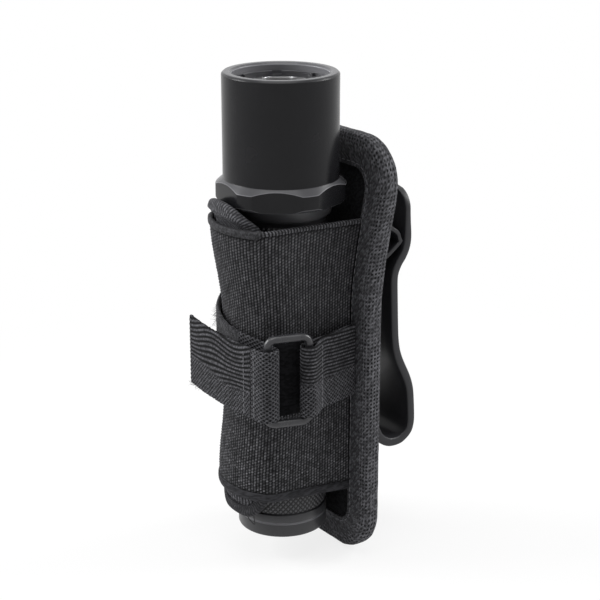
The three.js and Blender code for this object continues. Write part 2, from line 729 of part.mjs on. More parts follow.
function makeBackPanel() {
  const core = inset(panelPlate, tape.thickness + softGap);
  const liningFrom = tape.thickness + softGap;
  const liningTo = liningFrom + panel.liningThickness;
  const stiffenerFrom = liningTo + softGap;
  const stiffenerTo = stiffenerFrom + panel.stiffenerThickness;
  const coverFrom = stiffenerTo + softGap;
  const coverTo = panel.thickness - tape.thickness - softGap;
  const stiffenerPlate = inset(core, panel.stiffenerThickness);
  const rivetHoles = rivetPlaces().map(([x, z]) => (
    peg(x, z, swivel.rivetRadius + gap, panel.frontY + liningTo, panelBackY + overrun)
  ));
  add('back_panel_lining', panelLayer(core, liningFrom, liningTo), nylonFabric);
  add('back_panel_stiffener', without(panelLayer(stiffenerPlate, stiffenerFrom, stiffenerTo), rivetHoles),
    sheetPlastic);
  add('back_panel_cover', without(panelLayer(core, coverFrom, coverTo), rivetHoles), nylonFabric);
  const place = (x, z, depth) => [x, panel.frontY + leanAt(z) + depth, z];
  add('back_panel_binding', boundEdge(
    panelPlate, tape.width, tape.thickness, () => panel.thickness, place, panelRows,
  ), nylonTape);
}

// Elastic band

// Radius of the band's outside round the front, drawn in at the strap.
function bandRadiusAt(z) {
  const above = smooth(z, waistHighZ + band.waistAbove, mouthZ - band.topFullBelow);
  const below = 1 - smooth(z, band.bottomFull, waistLowZ);
  return band.waistRadius + (band.topRadius - band.waistRadius) * above
    + (band.bottomRadius - band.waistRadius) * below;
}

// One half of the band's outside at a height, from the front's middle to the back seam.
function bandHalf(z, proud) {
  const radius = bandRadiusAt(z) + proud;
  const cornerDeg = THREE.MathUtils.radToDeg(Math.asin((band.cornerX - band.cornerEase / 2) / radius));
  const frontArc = arc([0, 0], radius, -90, -90 + cornerDeg * share(0.9), 6);
  const cornerY = band.cornerEase - Math.sqrt(radius * radius - band.cornerX * band.cornerX);
  const seamY = panel.frontY + leanAt(z) - gap;
  return [
    ...frontArc,
    [band.cornerX + proud, cornerY],
    [band.sideX + proud, 0],
    [(band.sideX + band.seamX) / 2 + proud, seamY / 2],
    [band.seamX + proud, seamY],
  ];
}

function bandPath(z, proud) {
  const half = bandHalf(z, proud);
  const mirrored = half.slice(1).reverse().map(([x, y]) => [-x, y]);
  return [...mirrored, ...half];
}

// A wall along the band's path between two heights that may differ from seam to front.
function bandWall(heightsAt, proud, thickness, rows) {
  const count = bandPath(waistLowZ, proud).length;
  const rings = [];
  for (let i = 0; i < count; i += 1) {
    const along = Math.min(1, (1 - Math.abs(2 * i / (count - 1) - 1)) / share(0.5));
    const [low, high] = heightsAt(along);
    const outer = [];
    const inner = [];
    for (let k = 0; k < rows; k += 1) {
      const z = low + (high - low) * k / (rows - 1);
      const path = bandPath(z, proud);
      const [x, y] = path[i];
      const before = path[Math.max(i - 1, 0)];
      const after = path[Math.min(i + 1, count - 1)];
      const run = Math.hypot(after[0] - before[0], after[1] - before[1]);
      const normal = [(after[1] - before[1]) / run, -(after[0] - before[0]) / run];
      const atSeam = i === 0 || i === count - 1;
      const step = atSeam ? [Math.sign(normal[0]), 0] : normal;
      outer.push([x, y, z]);
      inner.push([x - step[0] * thickness, y - step[1] * thickness, z]);
    }
    rings.push([...outer, ...inner.reverse()]);
  }
  return lofted(rings);
}

function bandTopAt(along) {
  return mouthZ - THREE.MathUtils.lerp(band.seamTopBelow, band.frontTopBelow, along);
}

function bandBottomAt(along) {
  return THREE.MathUtils.lerp(band.seamBottom, band.frontBottom, along);
}

function makeBand() {
  const topOf = (along) => bandTopAt(along) - hem.topHeight - softGap;
  const bottomOf = (along) => bandBottomAt(along) + hem.bottomHeight + softGap;
  const wallHeights = (along) => [bottomOf(along), topOf(along)];
  add('elastic_band', bandWall(wallHeights, 0, band.thickness, bandRows), elastic);
  const hemThickness = band.thickness + hem.proud;
  add('top_hem', bandWall((along) => [bandTopAt(along) - hem.topHeight, bandTopAt(along)], hem.proud,
    hemThickness, 2), elastic);
  add('bottom_hem', bandWall((along) => [bandBottomAt(along), bandBottomAt(along) + hem.bottomHeight], hem.proud,
    hemThickness, 2), elastic);
}

// Inner tongue at the front of the holster

// The tongue opens out with the neck and then again to pass outside the collar.
function tongueInnerRadius(z) {
  const flare = smooth(z, mouthZ - tongue.flareStartBelow, mouthZ - tongue.flareEndBelow);
  const lip = smooth(z, mouthZ - tongue.lipStartBelow, mouthZ + tongue.lipEndAbove);
  return tongue.innerRadius + tongue.topFlare * flare + tongue.lipFlare * lip;
}

// It fills the room under the band and bulges where it comes out above the band's top edge.
function tongueThickness(z) {
  const bulgeZ = mouthZ - band.frontTopBelow + tongue.bulgeAbove;
  const free = smooth(z, bulgeZ, bulgeZ + tongue.bulgeHeight);
  const outerRadius = bandRadiusAt(z) - band.thickness - tongue.bandGap + tongue.bulge * free;
  return outerRadius - tongueInnerRadius(z);
}

// Wraps a flat place on the tongue round the light. Depth runs outwards, and the top leans to the left.
function onTongue(across, z, depth) {
  const radius = tongueInnerRadius(z) + depth;
  const lean = THREE.MathUtils.degToRad(tongue.leanDeg) * smooth(z, mouthZ - tongue.leanBelow, mouthZ);
  const angle = across / tongue.wrapRadius - lean;
  return [radius * Math.sin(angle), -radius * Math.cos(angle), z];
}

function makeTongue() {
  const core = inset(tonguePlate, tongue.tapeThickness + softGap);
  const acrossShares = [-1, -0.6, -0.2, 0.2, 0.6, 1];
  const rings = rowHeights(core, tongueRows).map((z) => {
    const reach = halfWidthAt(z, core);
    const from = tongue.tapeThickness + softGap;
    const to = tongueThickness(z) - from;
    const inner = acrossShares.map((part) => onTongue(part * reach, z, from));
    const outer = acrossShares.map((part) => onTongue(part * reach, z, to)).reverse();
    return [...inner, ...outer];
  });
  add('front_panel', lofted(rings), nylonFabric);
  add('front_panel_binding', boundEdge(
    tonguePlate, tongue.tapeWidth, tongue.tapeThickness, tongueThickness, onTongue, tongueRows,
  ), nylonTape);
}

// Retention strap

// A flat strip of webbing standing on its edge along a path of [x, y] points, raised at each by its rise.
function strip(path, rises) {
  const rings = path.map(([x, y], i) => {
    const before = path[Math.max(i - 1, 0)];
    const after = path[Math.min(i + 1, path.length - 1)];
    const run = Math.hypot(after[0] - before[0], after[1] - before[1]);
    const [nx, ny] = [(after[1] - before[1]) / run, -(after[0] - before[0]) / run];
    const half = webbing.thickness / 2;
    const [low, high] = [waistLowZ + rises[i], waistHighZ + rises[i]];
    const a = [x + nx * half, y + ny * half];
    const b = [x - nx * half, y - ny * half];
    return [[...a, low], [...a, high], [...b, high], [...b, low]];
  });
  return lofted(rings);
}

function polarDeg([x, y]) {
  return THREE.MathUtils.radToDeg(Math.atan2(y, x));
}

// The ring's two upright bars stand off the band's side, the near one further forward.
function ringBars() {
  const nearBar = [band.sideX + ring.nearOut, ring.nearBack - band.waistRadius];
  const aside = ring.farOut - ring.nearOut;
  const farBar = [band.sideX + ring.farOut, nearBar[1] + Math.sqrt(ring.length ** 2 - aside ** 2)];
  return { nearBar, farBar };
}

// The strap base lies on the band, passes inside the ring's near bar and folds back over it.
function strapPaths() {
  const eye = ring.wireRadius + gap + webbing.eyeEase + webbing.thickness / 2;
  const baseRadius = band.waistRadius + softGap + gap + webbing.thickness / 2;
  const tailRadius = baseRadius + webbing.thickness + gap;
  const { nearBar } = ringBars();
  const reach = Math.hypot(...nearBar);
  const barDeg = polarDeg(nearBar);
  const crossDeg = THREE.MathUtils.radToDeg(Math.acos((baseRadius + eye) / reach));
  const openDeg = THREE.MathUtils.radToDeg(Math.acos((tailRadius - eye) / reach));
  const leaveDeg = barDeg - crossDeg;
  const returnDeg = barDeg - openDeg;
  const sideOffset = softGap + gap + webbing.thickness / 2;
  const farCornerDeg = THREE.MathUtils.radToDeg(Math.asin(band.cornerX / baseRadius));
  const start = [-(band.seamX + sideOffset), panel.frontY - gap - webbing.thickness / 2];
  const round = arc([0, 0], baseRadius, -90 - farCornerDeg, leaveDeg, 12);
  const fold = arc(nearBar, eye, leaveDeg + 180, returnDeg, 12);
  const fromBar = fold[fold.length - 1];
  const toFront = arc([0, 0], tailRadius, returnDeg, returnDeg, 1)[0];
  const hinge = [
    THREE.MathUtils.lerp(fromBar[0], toFront[0], share(0.25)),
    THREE.MathUtils.lerp(fromBar[1], toFront[1], share(0.25)),
  ];
  const wrap = [
    start,
    [-(band.sideX + sideOffset), 0],
    [-(band.cornerX + sideOffset), round[0][1] * share(0.8)],
    ...round,
  ];
  const base = [...wrap, ...fold, hinge];
  const loose = strapTailShares.map(([x, y]) => [x * tailRadius, y * tailRadius]);
  return { base, foldStart: wrap.length, hinge, toFront, loose };
}

// The base climbs from the fold back towards the left seam, and is level once it is fully raised.
function baseRises(path, foldStart) {
  const rises = path.map(() => 0);
  let distance = 0;
  for (let i = foldStart - 1; i >= 0; i -= 1) {
    distance += Math.hypot(path[i][0] - path[i + 1][0], path[i][1] - path[i + 1][1]);
    rises[i] = Math.min(webbing.climbShare * distance, webbing.baseRise);
  }
  return rises;
}

function makeStrap() {
  const { base, foldStart, hinge, toFront, loose } = strapPaths();
  add('strap_base', strip(base, baseRises(base, foldStart)), pile);
  const along = Math.hypot(toFront[0] - hinge[0], toFront[1] - hinge[1]);
  const tailStart = [
    hinge[0] + (toFront[0] - hinge[0]) * gap / along,
    hinge[1] + (toFront[1] - hinge[1]) * gap / along,
  ];
  const middle = [(tailStart[0] + toFront[0]) / 2, (tailStart[1] + toFront[1]) / 2];
  const rises = strapTailRiseShares.map((part) => part * webbing.tailRise);
  add('strap_tail', strip([tailStart, middle, toFront, ...loose], rises), webbingFinish);
}

// The anchor is doubled webbing sewn flat, with an eye round the ring's far bar. It climbs to the seam.
function makeAnchor() {
  const eyeInner = ring.wireRadius + softGap;
  const eyeOuter = eyeInner + webbing.thickness;
  const doubled = 2 * webbing.thickness;
  const seamInner = band.seamX + softGap + gap / 2;
  const endY = panel.frontY - gap - softGap;
  const bar = ringBars().farBar;
  const touchDeg = ([x, y], side) => {
    const away = [x - bar[0], y - bar[1]];
    return polarDeg(away) + side * THREE.MathUtils.radToDeg(Math.acos(eyeOuter / Math.hypot(...away)));
  };
  const seam = [seamInner, endY];
  const innerDeg = touchDeg(seam, 1);
  const innerTouch = arc(bar, eyeOuter, innerDeg, innerDeg, 1)[0];
  const meetY = bar[1] + 2 * eyeOuter;
  const meetPart = (endY - meetY) / (endY - innerTouch[1]);
  const meet = [THREE.MathUtils.lerp(seamInner, innerTouch[0], meetPart) + doubled, meetY];
  const outline = new THREE.Shape();
  outline.moveTo(...seam);
  arc(bar, eyeOuter, innerDeg, touchDeg(meet, -1) + 360, 12).forEach((point) => outline.lineTo(...point));
  outline.lineTo(...meet);
  outline.lineTo(seamInner + doubled, endY);
  outline.closePath();
  const hole = new THREE.Path();
  arc(bar, eyeInner, 0, -345, 14).forEach((point, i) => (i === 0 ? hole.moveTo(...point) : hole.lineTo(...point)));
  hole.closePath();
  outline.holes.push(hole);
  const geometry = new THREE.ExtrudeGeometry(outline, { depth: webbing.width, bevelEnabled: false });
  const climb = webbing.anchorRise / (endY - bar[1]);
  geometry.applyMatrix4(new THREE.Matrix4().makeShear(0, 0, 0, climb, 0, 0));
  geometry.translate(0, 0, waistLowZ - climb * bar[1]);
  add('strap_anchor', geometry, webbingFinish);
}

// The ring is round wire bent to a rounded rectangle that stands on its short side.
function makeRing() {
  const { nearBar: near, farBar: far } = ringBars();
  const length = Math.hypot(far[0] - near[0], far[1] - near[1]);
  const along = [(far[0] - near[0]) / length, (far[1] - near[1]) / length];
  const centre = [(near[0] + far[0]) / 2, (near[1] + far[1]) / 2];
  const height = ring.height;
  const plate = {
    halfWidth: length / 2, topZ: height / 2, bottomZ: -height / 2, topCorner: ring.cornerRadius,
    bottomCorner: ring.cornerRadius,
  };
  const sides = 8;
  const rings = roundedOutline(plate, 0, 0).map(({ x, z, nx, nz }) => (
    Array.from({ length: sides }, (_, k) => {
      const angle = k * 2 * Math.PI / sides;
      const outwardStep = ring.wireRadius * Math.cos(angle);
      const sideStep = ring.wireRadius * Math.sin(angle);
      const run = x + nx * outwardStep;
      return [
        centre[0] + along[0] * run + along[1] * sideStep,
        centre[1] + along[1] * run - along[0] * sideStep,
        strapZ + z + nz * outwardStep,
      ];
    })
  ));
  add('strap_ring', lofted(rings, true), blackWire);
}

// Belt clip

// A bevelled ribbon across the clip. Each stop is [y, z, thickness, half width].
function ribbon(stops) {
  const rings = stops.map(([y, z, thickness, halfWidth], i) => {
    const before = stops[Math.max(i - 1, 0)];
    const after = stops[Math.min(i + 1, stops.length - 1)];
    const run = Math.hypot(after[0] - before[0], after[1] - before[1]);
    const [ny, nz] = [(after[1] - before[1]) / run, -(after[0] - before[0]) / run];
    const half = thickness / 2;
    const bevel = Math.min(clip.edgeBevel, half / 2);
    const corner = (x, off) => [x, y + ny * off, z + nz * off];
    return [
      corner(-halfWidth + bevel, half), corner(-halfWidth, half - bevel),
      corner(-halfWidth, bevel - half), corner(-halfWidth + bevel, -half),
      corner(halfWidth - bevel, -half), corner(halfWidth, bevel - half),
      corner(halfWidth, half - bevel), corner(halfWidth - bevel, half),
    ];
  });
  const turnedRings = rings.map((points) => [...points.slice(2), ...points.slice(0, 2)]);
  return lofted(turnedRings);
}

// Samples a smooth curve through stops and narrows its far end to rounded corners.
function ribbonStops(stops, samples, tipZ, tipCorner) {
  const path = new THREE.CatmullRomCurve3(
    stops.map(([y, z, thickness]) => new THREE.Vector3(y, z, thickness)), false, 'centripetal',
  );
  const halfWidth = clip.width / 2;
  const made = [];
  for (let i = 0; i <= samples; i += 1) {
    const { x: y, y: z, z: thickness } = path.getPoint(i / samples);
    if (z > tipZ - tipCorner) break;
    made.push([y, z, thickness, halfWidth]);
  }
  const last = stops[stops.length - 1];
  for (let i = 0; i <= cornerSteps; i += 1) {
    const angle = Math.PI / 2 * i / cornerSteps;
    const z = tipZ - tipCorner + tipCorner * Math.sin(angle);
    made.push([last[0], z, last[2], halfWidth - tipCorner + tipCorner * Math.cos(angle)]);
  }
  return made;
}

// The clip's side view: the plate's bend, then the arm, as [y, z, thickness] stops.
function clipStops() {
  const height = armTopZ - clipBottomZ;
  const splitY = plateFrontY + clipSplitShare * clip.depth;
  const plateY = (plateFrontY + plateBackY) / 2;
  const stop = (side, thickness) => ([across, up]) => [
    splitY + side * clip.splitGap / 2 + across * clip.depth, clipBottomZ + up * height, thickness,
  ];
  const bend = clipBendShares.map(stop(-1, clip.bendThickness));
  const straightLow = bend[bend.length - 1][1] + clip.bendThickness;
  const plate = [
    ...bend,
    [plateY, straightLow, clip.plateThickness],
    [plateY, (straightLow + plateTopZ) / 2, clip.plateThickness],
    [plateY, plateTopZ, clip.plateThickness],
  ];
  const thick = clipArmShares.slice(0, -2).map(stop(1, clip.bendThickness));
  const tip = clipArmShares.slice(-2).map(stop(1, clip.tipThickness));
  return { plate, arm: [...thick, ...tip] };
}

function makeClip() {
  const { plate, arm } = clipStops();
  const plateSolid = ribbon(ribbonStops(plate, plateSamples, plateTopZ, clip.plateCorner));
  const rootY = plateBackY - barb.root;
  const peakY = plateBackY + barb.rise;
  const peakZ = swivelZ + barb.peakAbove;
  const halfBarb = barb.width / 2;
  const blunt = barb.thickness / 2;
  const barbStops = [
    [rootY, peakZ - barb.reachBelow],
    [peakY - blunt, peakZ - blunt],
    [peakY, peakZ],
    [peakY - blunt, peakZ + blunt],
    [peakY - barb.rise * share(0.2), peakZ + barb.reachAbove * share(0.33)],
    [rootY, peakZ + barb.reachAbove - barb.root],
  ].map(([y, z]) => [y, z, barb.thickness, halfBarb]);
  const hole = peg(0, swivelZ, swivel.postRadius + gap, plateFrontY - overrun, plateBackY + overrun, coarse);
  add('clip_plate', without(joined([plateSolid, ribbon(barbStops)]), [hole]), clipPlastic);
  add('clip_arm', ribbon(ribbonStops(arm, armSamples, armTopZ, clip.armCorner)), clipPlastic);
}

// Swivel between the clip plate and the holster's back

function rivetPlaces() {
  return Array.from({ length: swivel.rivets }, (_, i) => {
    const angle = (i + share(0.5)) * 2 * Math.PI / swivel.rivets;
    return [swivel.rivetCircle * Math.cos(angle), swivelZ + swivel.rivetCircle * Math.sin(angle)];
  });
}

function makeSwivel() {
  const washerBackY = plateFrontY - gap;
  const washerFrontY = washerBackY - swivel.washerThickness;
  const flangeBackY = washerFrontY - gap;
  const flangeFrontY = flangeBackY - swivel.flangeThickness;
  const postBackY = plateBackY + gap / 2;
  const capFrontY = postBackY + gap;
  const capBackY = capFrontY + swivel.capThickness;
  const screwBottomY = flangeFrontY + swivel.flangeThickness * share(0.4);
  const headDepth = swivel.capThickness * share(0.6);
  const screwHole = peg(0, swivelZ, swivel.screwRadius + gap, screwBottomY - gap, postBackY + overrun);
  const flange = joined([
    peg(0, swivelZ, swivel.flangeRadius, flangeFrontY, flangeBackY, fine),
    peg(0, swivelZ, swivel.postRadius, flangeBackY - overrun, postBackY, coarse),
  ]);
  const headSeatY = flangeBackY - swivel.rivetHead - gap;
  const rivetCuts = rivetPlaces().flatMap(([x, z]) => [
    peg(x, z, swivel.rivetRadius + gap, flangeFrontY - overrun, flangeBackY + overrun),
    peg(x, z, swivel.rivetHeadRadius + gap, headSeatY, flangeBackY + overrun),
  ]);
  add('swivel_flange', without(flange, [screwHole, ...rivetCuts]), clipPlastic);

  const stiffenerFrontY = panel.frontY + tape.thickness + 2 * softGap + panel.liningThickness;
  rivetPlaces().forEach(([x, z], i) => {
    add(`swivel_rivet_${i + 1}`, joined([
      peg(x, z, swivel.rivetRadius, stiffenerFrontY, flangeBackY - gap),
      peg(x, z, swivel.rivetHeadRadius, flangeBackY - gap - swivel.rivetHead + gap / 2, flangeBackY - gap),
    ]), springSteel);
  });

  const washer = peg(0, swivelZ, swivel.flangeRadius - swivel.washerThickness, washerFrontY, washerBackY, fine);
  const washerHole = peg(
    0, swivelZ, swivel.postRadius + gap, washerFrontY - overrun, washerBackY + overrun, coarse,
  );
  add('swivel_washer', without(washer, [washerHole]), sheetPlastic);

  const cap = peg(0, swivelZ, swivel.capRadius, capFrontY, capBackY, fine);
  const capCuts = [
    peg(0, swivelZ, swivel.screwRadius + gap, capFrontY - overrun, capBackY + overrun),
    peg(0, swivelZ, swivel.screwHeadRadius + gap, capBackY - headDepth - gap, capBackY + overrun),
  ];
  add('swivel_cap', without(cap, capCuts), clipPlastic);
  const screw = joined([
    peg(0, swivelZ, swivel.screwRadius, screwBottomY, capBackY - headDepth / 2),
    peg(0, swivelZ, swivel.screwHeadRadius, capBackY - headDepth, capBackY),
  ]);
  const slotWidth = swivel.screwRadius * share(0.4);
  const slot = new THREE.BoxGeometry(2 * swivel.screwHeadRadius * share(0.8), headDepth, slotWidth);
  slot.translate(0, capBackY, swivelZ);
  add('swivel_screw', without(screw, [slot]), springSteel);
}

makeHead();
makeLensRing();
makeWindow();
makeReflector();
makeLamp();
const ledgeTopZ = makeBatteryTube();
makeCell();
addSpring('lamp_ground_spring', groundSpring, ledgeTopZ, lampFlangeBottomZ);
addSpring('lamp_contact_spring', contactSpring, terminalTopZ, lampStemBottomZ);
addSpring('tail_contact_spring', tailSpring, switchTopZ, cellBottomZ);
makeTailCap();
makeSwitch();
makeBackPanel();
makeBand();
makeTongue();
makeStrap();
makeAnchor();
makeRing();
makeClip();
makeSwivel();

outfit.position.set(0, -plateBackY, -beltFaceZ);
const group = new THREE.Group();
group.add(outfit);

export default group;
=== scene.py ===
import math
from types import SimpleNamespace as Sizes

import bmesh
import bpy
import numpy as np
from mathutils import Matrix, Vector


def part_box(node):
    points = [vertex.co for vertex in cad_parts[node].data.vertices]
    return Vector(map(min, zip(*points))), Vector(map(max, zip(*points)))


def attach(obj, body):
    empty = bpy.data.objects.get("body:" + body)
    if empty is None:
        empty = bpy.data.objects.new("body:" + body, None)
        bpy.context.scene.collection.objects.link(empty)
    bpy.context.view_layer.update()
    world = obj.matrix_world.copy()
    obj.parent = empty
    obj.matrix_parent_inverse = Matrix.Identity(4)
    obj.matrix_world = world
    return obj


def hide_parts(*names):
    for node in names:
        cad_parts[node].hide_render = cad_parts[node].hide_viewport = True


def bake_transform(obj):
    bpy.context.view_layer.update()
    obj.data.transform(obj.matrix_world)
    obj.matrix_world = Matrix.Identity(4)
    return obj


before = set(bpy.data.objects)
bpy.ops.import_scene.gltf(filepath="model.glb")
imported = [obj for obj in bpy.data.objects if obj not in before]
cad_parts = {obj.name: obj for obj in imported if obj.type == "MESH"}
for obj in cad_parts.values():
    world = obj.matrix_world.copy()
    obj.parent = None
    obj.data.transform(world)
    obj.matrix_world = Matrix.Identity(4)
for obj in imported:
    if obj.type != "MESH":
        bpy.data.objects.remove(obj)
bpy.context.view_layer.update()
chance = np.random.default_rng(7)

MM = 0.001
TAU = 2 * math.pi
MAP_NAME = "millimetres"


def origin_of_light():
    """The light's axis and tail end, in the frame's metres."""
    tube_low, tube_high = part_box("battery_tube")
    tail_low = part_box("tail_cap")[0]
    return Vector(((tube_low.x + tube_high.x) / 2, (tube_low.y + tube_high.y) / 2, tail_low.z))


LIGHT_ORIGIN = origin_of_light()


def to_frame(points):
    return np.asarray(points, float) * MM + np.array(LIGHT_ORIGIN)


def span(node):
    """Lowest and highest corner of a CAD node, in millimetres in the light's axes."""
    low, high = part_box(node)
    return (low - LIGHT_ORIGIN) / MM, (high - LIGHT_ORIGIN) / MM


# Camera, at the photograph's viewing angle
IMAGE_SIDE = 600
FOCAL_PIXELS = 1494
AXIS_COLUMN = 280.5
CAMERA_AZIMUTH = math.radians(55)
CAMERA_REACH = 396
CAMERA_HEIGHT = 202
CAMERA_PITCH = math.radians(18.76)
SENSOR_WIDTH = 36


def make_camera():
    data = bpy.data.cameras.new("camera")
    data.sensor_width = SENSOR_WIDTH
    data.lens = FOCAL_PIXELS * SENSOR_WIDTH / IMAGE_SIDE
    data.clip_start = 0.01
    data.clip_end = 20
    camera = bpy.data.objects.new("camera", data)
    bpy.context.scene.collection.objects.link(camera)
    side, back = math.sin(CAMERA_AZIMUTH), math.cos(CAMERA_AZIMUTH)
    turn = math.atan((IMAGE_SIDE / 2 - AXIS_COLUMN) / FOCAL_PIXELS)
    ahead = Vector((-side, back, 0)) * math.cos(turn) + Vector((back, side, 0)) * math.sin(turn)
    right = Vector((ahead.y, -ahead.x, 0))
    forward = ahead * math.cos(CAMERA_PITCH) - Vector((0, 0, math.sin(CAMERA_PITCH)))
    up = right.cross(forward)
    place = Vector(to_frame([CAMERA_REACH * side, -CAMERA_REACH * back, CAMERA_HEIGHT]))
    turned = Matrix((right, up, -forward)).transposed().to_4x4()
    camera.matrix_world = Matrix.Translation(place) @ turned
    bpy.context.scene.camera = camera


make_camera()

# Sizes of the light
HEAD = Sizes(radius=15.9, bore=13.1, rim=0.6, thread=12.6, edge=0.16)
HEAD.bottom, HEAD.top = span("head")[0].z, span("head")[1].z
COLLAR = Sizes(
    corner=17.9, flat=16.56, height=6.3, top_chamfer=1.7, bottom_chamfer=0.8, flat_half=22.3, turn=21.4,
)
COLLAR.top = HEAD.bottom + COLLAR.height
BODY = Sizes(radius=12.6, neck=14.4, neck_top=HEAD.bottom - 0.4, flare=4.6, knurl_depth=0.34)
# The knurl is cut a little coarser than life, so that its diamonds show.
KNURL = Sizes(around=53, rise=1.6, steps=6)
TAIL = Sizes(
    ring=12.8, ring_top=6.9, groove=4.2, groove_half=0.32, groove_depth=0.34, length=24, edge=0.5,
    lip=7.2, lip_top=2.4, flare=1.6, cavity=10.2, thread=11.9, cavity_top=16.8,
)

# Sizes of the holster
PANEL = Sizes(
    half=22.5, front=13.3, thick=5.3, top_corner=15, bottom_corner=13, lean=6.6, lean_low=66, lean_high=116,
)
PANEL.bottom, PANEL.top = span("back_panel_binding")[0].z, span("back_panel_binding")[1].z
PANEL.back = PANEL.front + PANEL.thick
TAPE = Sizes(width=9, thick=0.7)
TONGUE = Sizes(
    half=11.6, top_corner=11.2, bottom_corner=8.5, inner=13.05, flare=1.9, flare_low=72, flare_high=92,
    lip=3.35, lip_low=91, lip_high=97.2, bulge=1.85, bulge_low=93.1, bulge_high=95.6, lean=math.radians(4),
    lean_low=88, lean_high=97, tape_width=3.6, wrap=16.5, gap=0.35,
)
TONGUE.bottom, TONGUE.top = span("front_panel_binding")[0].z, span("front_panel_binding")[1].z
BAND = Sizes(
    thick=1, seam=14.7, side=14.15, corner=13.75, ease=1.2, seam_top=91.7, front_top=92.6, seam_bottom=11.4,
    front_bottom=13.4, waist=16.6, top=19.7, bottom=18.3, full_low=17, full_high=92, waist_low=40.1,
    waist_high=64.2, rib=0.86, weft=0.86, columns=4, relief=0.26, slack=0.92,
)
HEM = Sizes(flat=2.2, flat_proud=0.5, roll=1.2, roll_proud=0.4, bottom=2.6, bottom_proud=0.3, around=14)
STRAP = Sizes(
    thick=1.2, width=20.6, middle=50.4, gap=0.3, off_band=0.55, ease=0.6, climb=0.24, base_rise=7.5,
    tail_rise=1.4, anchor_rise=1.6,
)
RING = Sizes(wire=1.1, corner=2, taller=0.9)
CLIP = Sizes(
    width=28, plate=2.1, bend=2.6, tip=2, depth=15.7, bottom=19.95, top=97.3, plate_top=91, clearance=3.7,
    corner_plate=2.5, corner_arm=6, edge=0.55, split=0.395, gap=0.4,
)
CLIP.front = PANEL.back + CLIP.clearance
BARB = Sizes(width=27.6, thick=1.2, rise=7.3, up=8, down=5.4, above=24.6, root=0.5)
SWIVEL_HEIGHT = 58


# Geometry helpers

def smooth(value, low, high):
    part = np.clip((np.asarray(value, float) - low) / (high - low), 0, 1)
    return part * part * (3 - 2 * part)


def unit(vectors):
    return vectors / np.maximum(np.linalg.norm(vectors, axis=-1, keepdims=True), 1e-9)


def lengths_along(points):
    steps = np.linalg.norm(np.diff(points, axis=0), axis=-1)
    return np.concatenate([[0], np.cumsum(steps)])


def points_at(where, along, points):
    """Points of a polyline at lengths along it."""
    return np.stack([np.interp(where, along, column) for column in points.T], axis=-1)


def resampled(points, count):
    """The same polyline with evenly spaced points."""
    points = np.asarray(points, float)
    along = lengths_along(points)
    return points_at(np.linspace(0, along[-1], count), along, points)


def curve_through(points, count, closed=False):
    """A smooth curve through the points, evenly resampled."""
    points = np.asarray(points, float)
    if closed:
        padded = np.concatenate([points[-1:], points, points[:2]])
    else:
        padded = np.concatenate([2 * points[:1] - points[1:2], points, 2 * points[-1:] - points[-2:-1]])
    t = np.linspace(0, 1, 12, endpoint=False)[:, None]
    made = []
    for a, b, c, d in zip(padded, padded[1:], padded[2:], padded[3:]):
        square = (2 * a - 5 * b + 4 * c - d) * t ** 2
        cube = (3 * b - a - 3 * c + d) * t ** 3
        made.append(0.5 * (2 * b + (c - a) * t + square + cube))
    made.append(padded[-2:-1])
    return resampled(np.concatenate(made), count)


def arc(centre, radius, start, stop, count):
    """Points of a circle in a plane, with angles in degrees."""
    angles = np.radians(np.linspace(start, stop, count))
    return np.stack([centre[0] + radius * np.cos(angles), centre[1] + radius * np.sin(angles)], axis=-1)


def soften(outline, size):
    """Replaces each corner of a closed outline by four points of a small round edge."""
    outline = np.asarray(outline, float)
    before = np.roll(outline, 1, axis=-2) - outline
    after = np.roll(outline, -1, axis=-2) - outline
    reach_before = np.maximum(np.linalg.norm(before, axis=-1, keepdims=True), 1e-6)
    reach_after = np.maximum(np.linalg.norm(after, axis=-1, keepdims=True), 1e-6)
    step = np.minimum(size, np.minimum(reach_before, reach_after) * 0.4)
    start = outline + before / reach_before * step
    end = outline + after / reach_after * step
    points = [start * (1 - t) ** 2 + outline * 2 * t * (1 - t) + end * t ** 2 for t in (0, 1 / 3, 2 / 3, 1)]
    return np.stack(points, axis=-2).reshape(*outline.shape[:-2], -1, 2)


def build_mesh(name, points, faces, maps, material, sharp=35, weld=False, crown=None):
    """A mesh object from points in millimetres, quads and their map places."""
    mesh = bpy.data.meshes.new(name)
    mesh.from_pydata(to_frame(points).tolist(), [], faces)
    if maps is not None:
        layer = mesh.uv_layers.new(name=MAP_NAME)
        layer.data.foreach_set("uv", np.asarray(maps, np.float32).ravel())
    if crown is not None:
        attribute = mesh.attributes.new("crown", "FLOAT", "POINT")
        attribute.data.foreach_set("value", np.asarray(crown, np.float32).ravel())
    work = bmesh.new()
    work.from_mesh(mesh)
    if weld:
        bmesh.ops.remove_doubles(work, verts=work.verts, dist=2e-6)
    if work.calc_volume(signed=True) < 0:
        bmesh.ops.reverse_faces(work, faces=work.faces)
    work.to_mesh(mesh)
    work.free()
    mesh.shade_smooth()
    mesh.set_sharp_from_angle(angle=math.radians(sharp))
    mesh.materials.append(material)
    made = bpy.data.objects.new(name, mesh)
    bpy.context.scene.collection.objects.link(made)
    return made


def loft_faces(count, around, closed, first=0):
    """Quads between rings of points, with a polygon over each open end."""
    spans = count if closed else count - 1
    i, j = np.meshgrid(np.arange(spans), np.arange(around), indexing="ij")
    next_i, next_j = (i + 1) % count, (j + 1) % around
    corners = [i * around + j, i * around + next_j, next_i * around + next_j, next_i * around + j]
    faces = (np.stack(corners, axis=-1).reshape(-1, 4) + first).tolist()
    if not closed:
        faces.append(list(range(first + around - 1, first - 1, -1)))
        faces.append(list(range(first + (count - 1) * around, first + count * around)))
    return faces


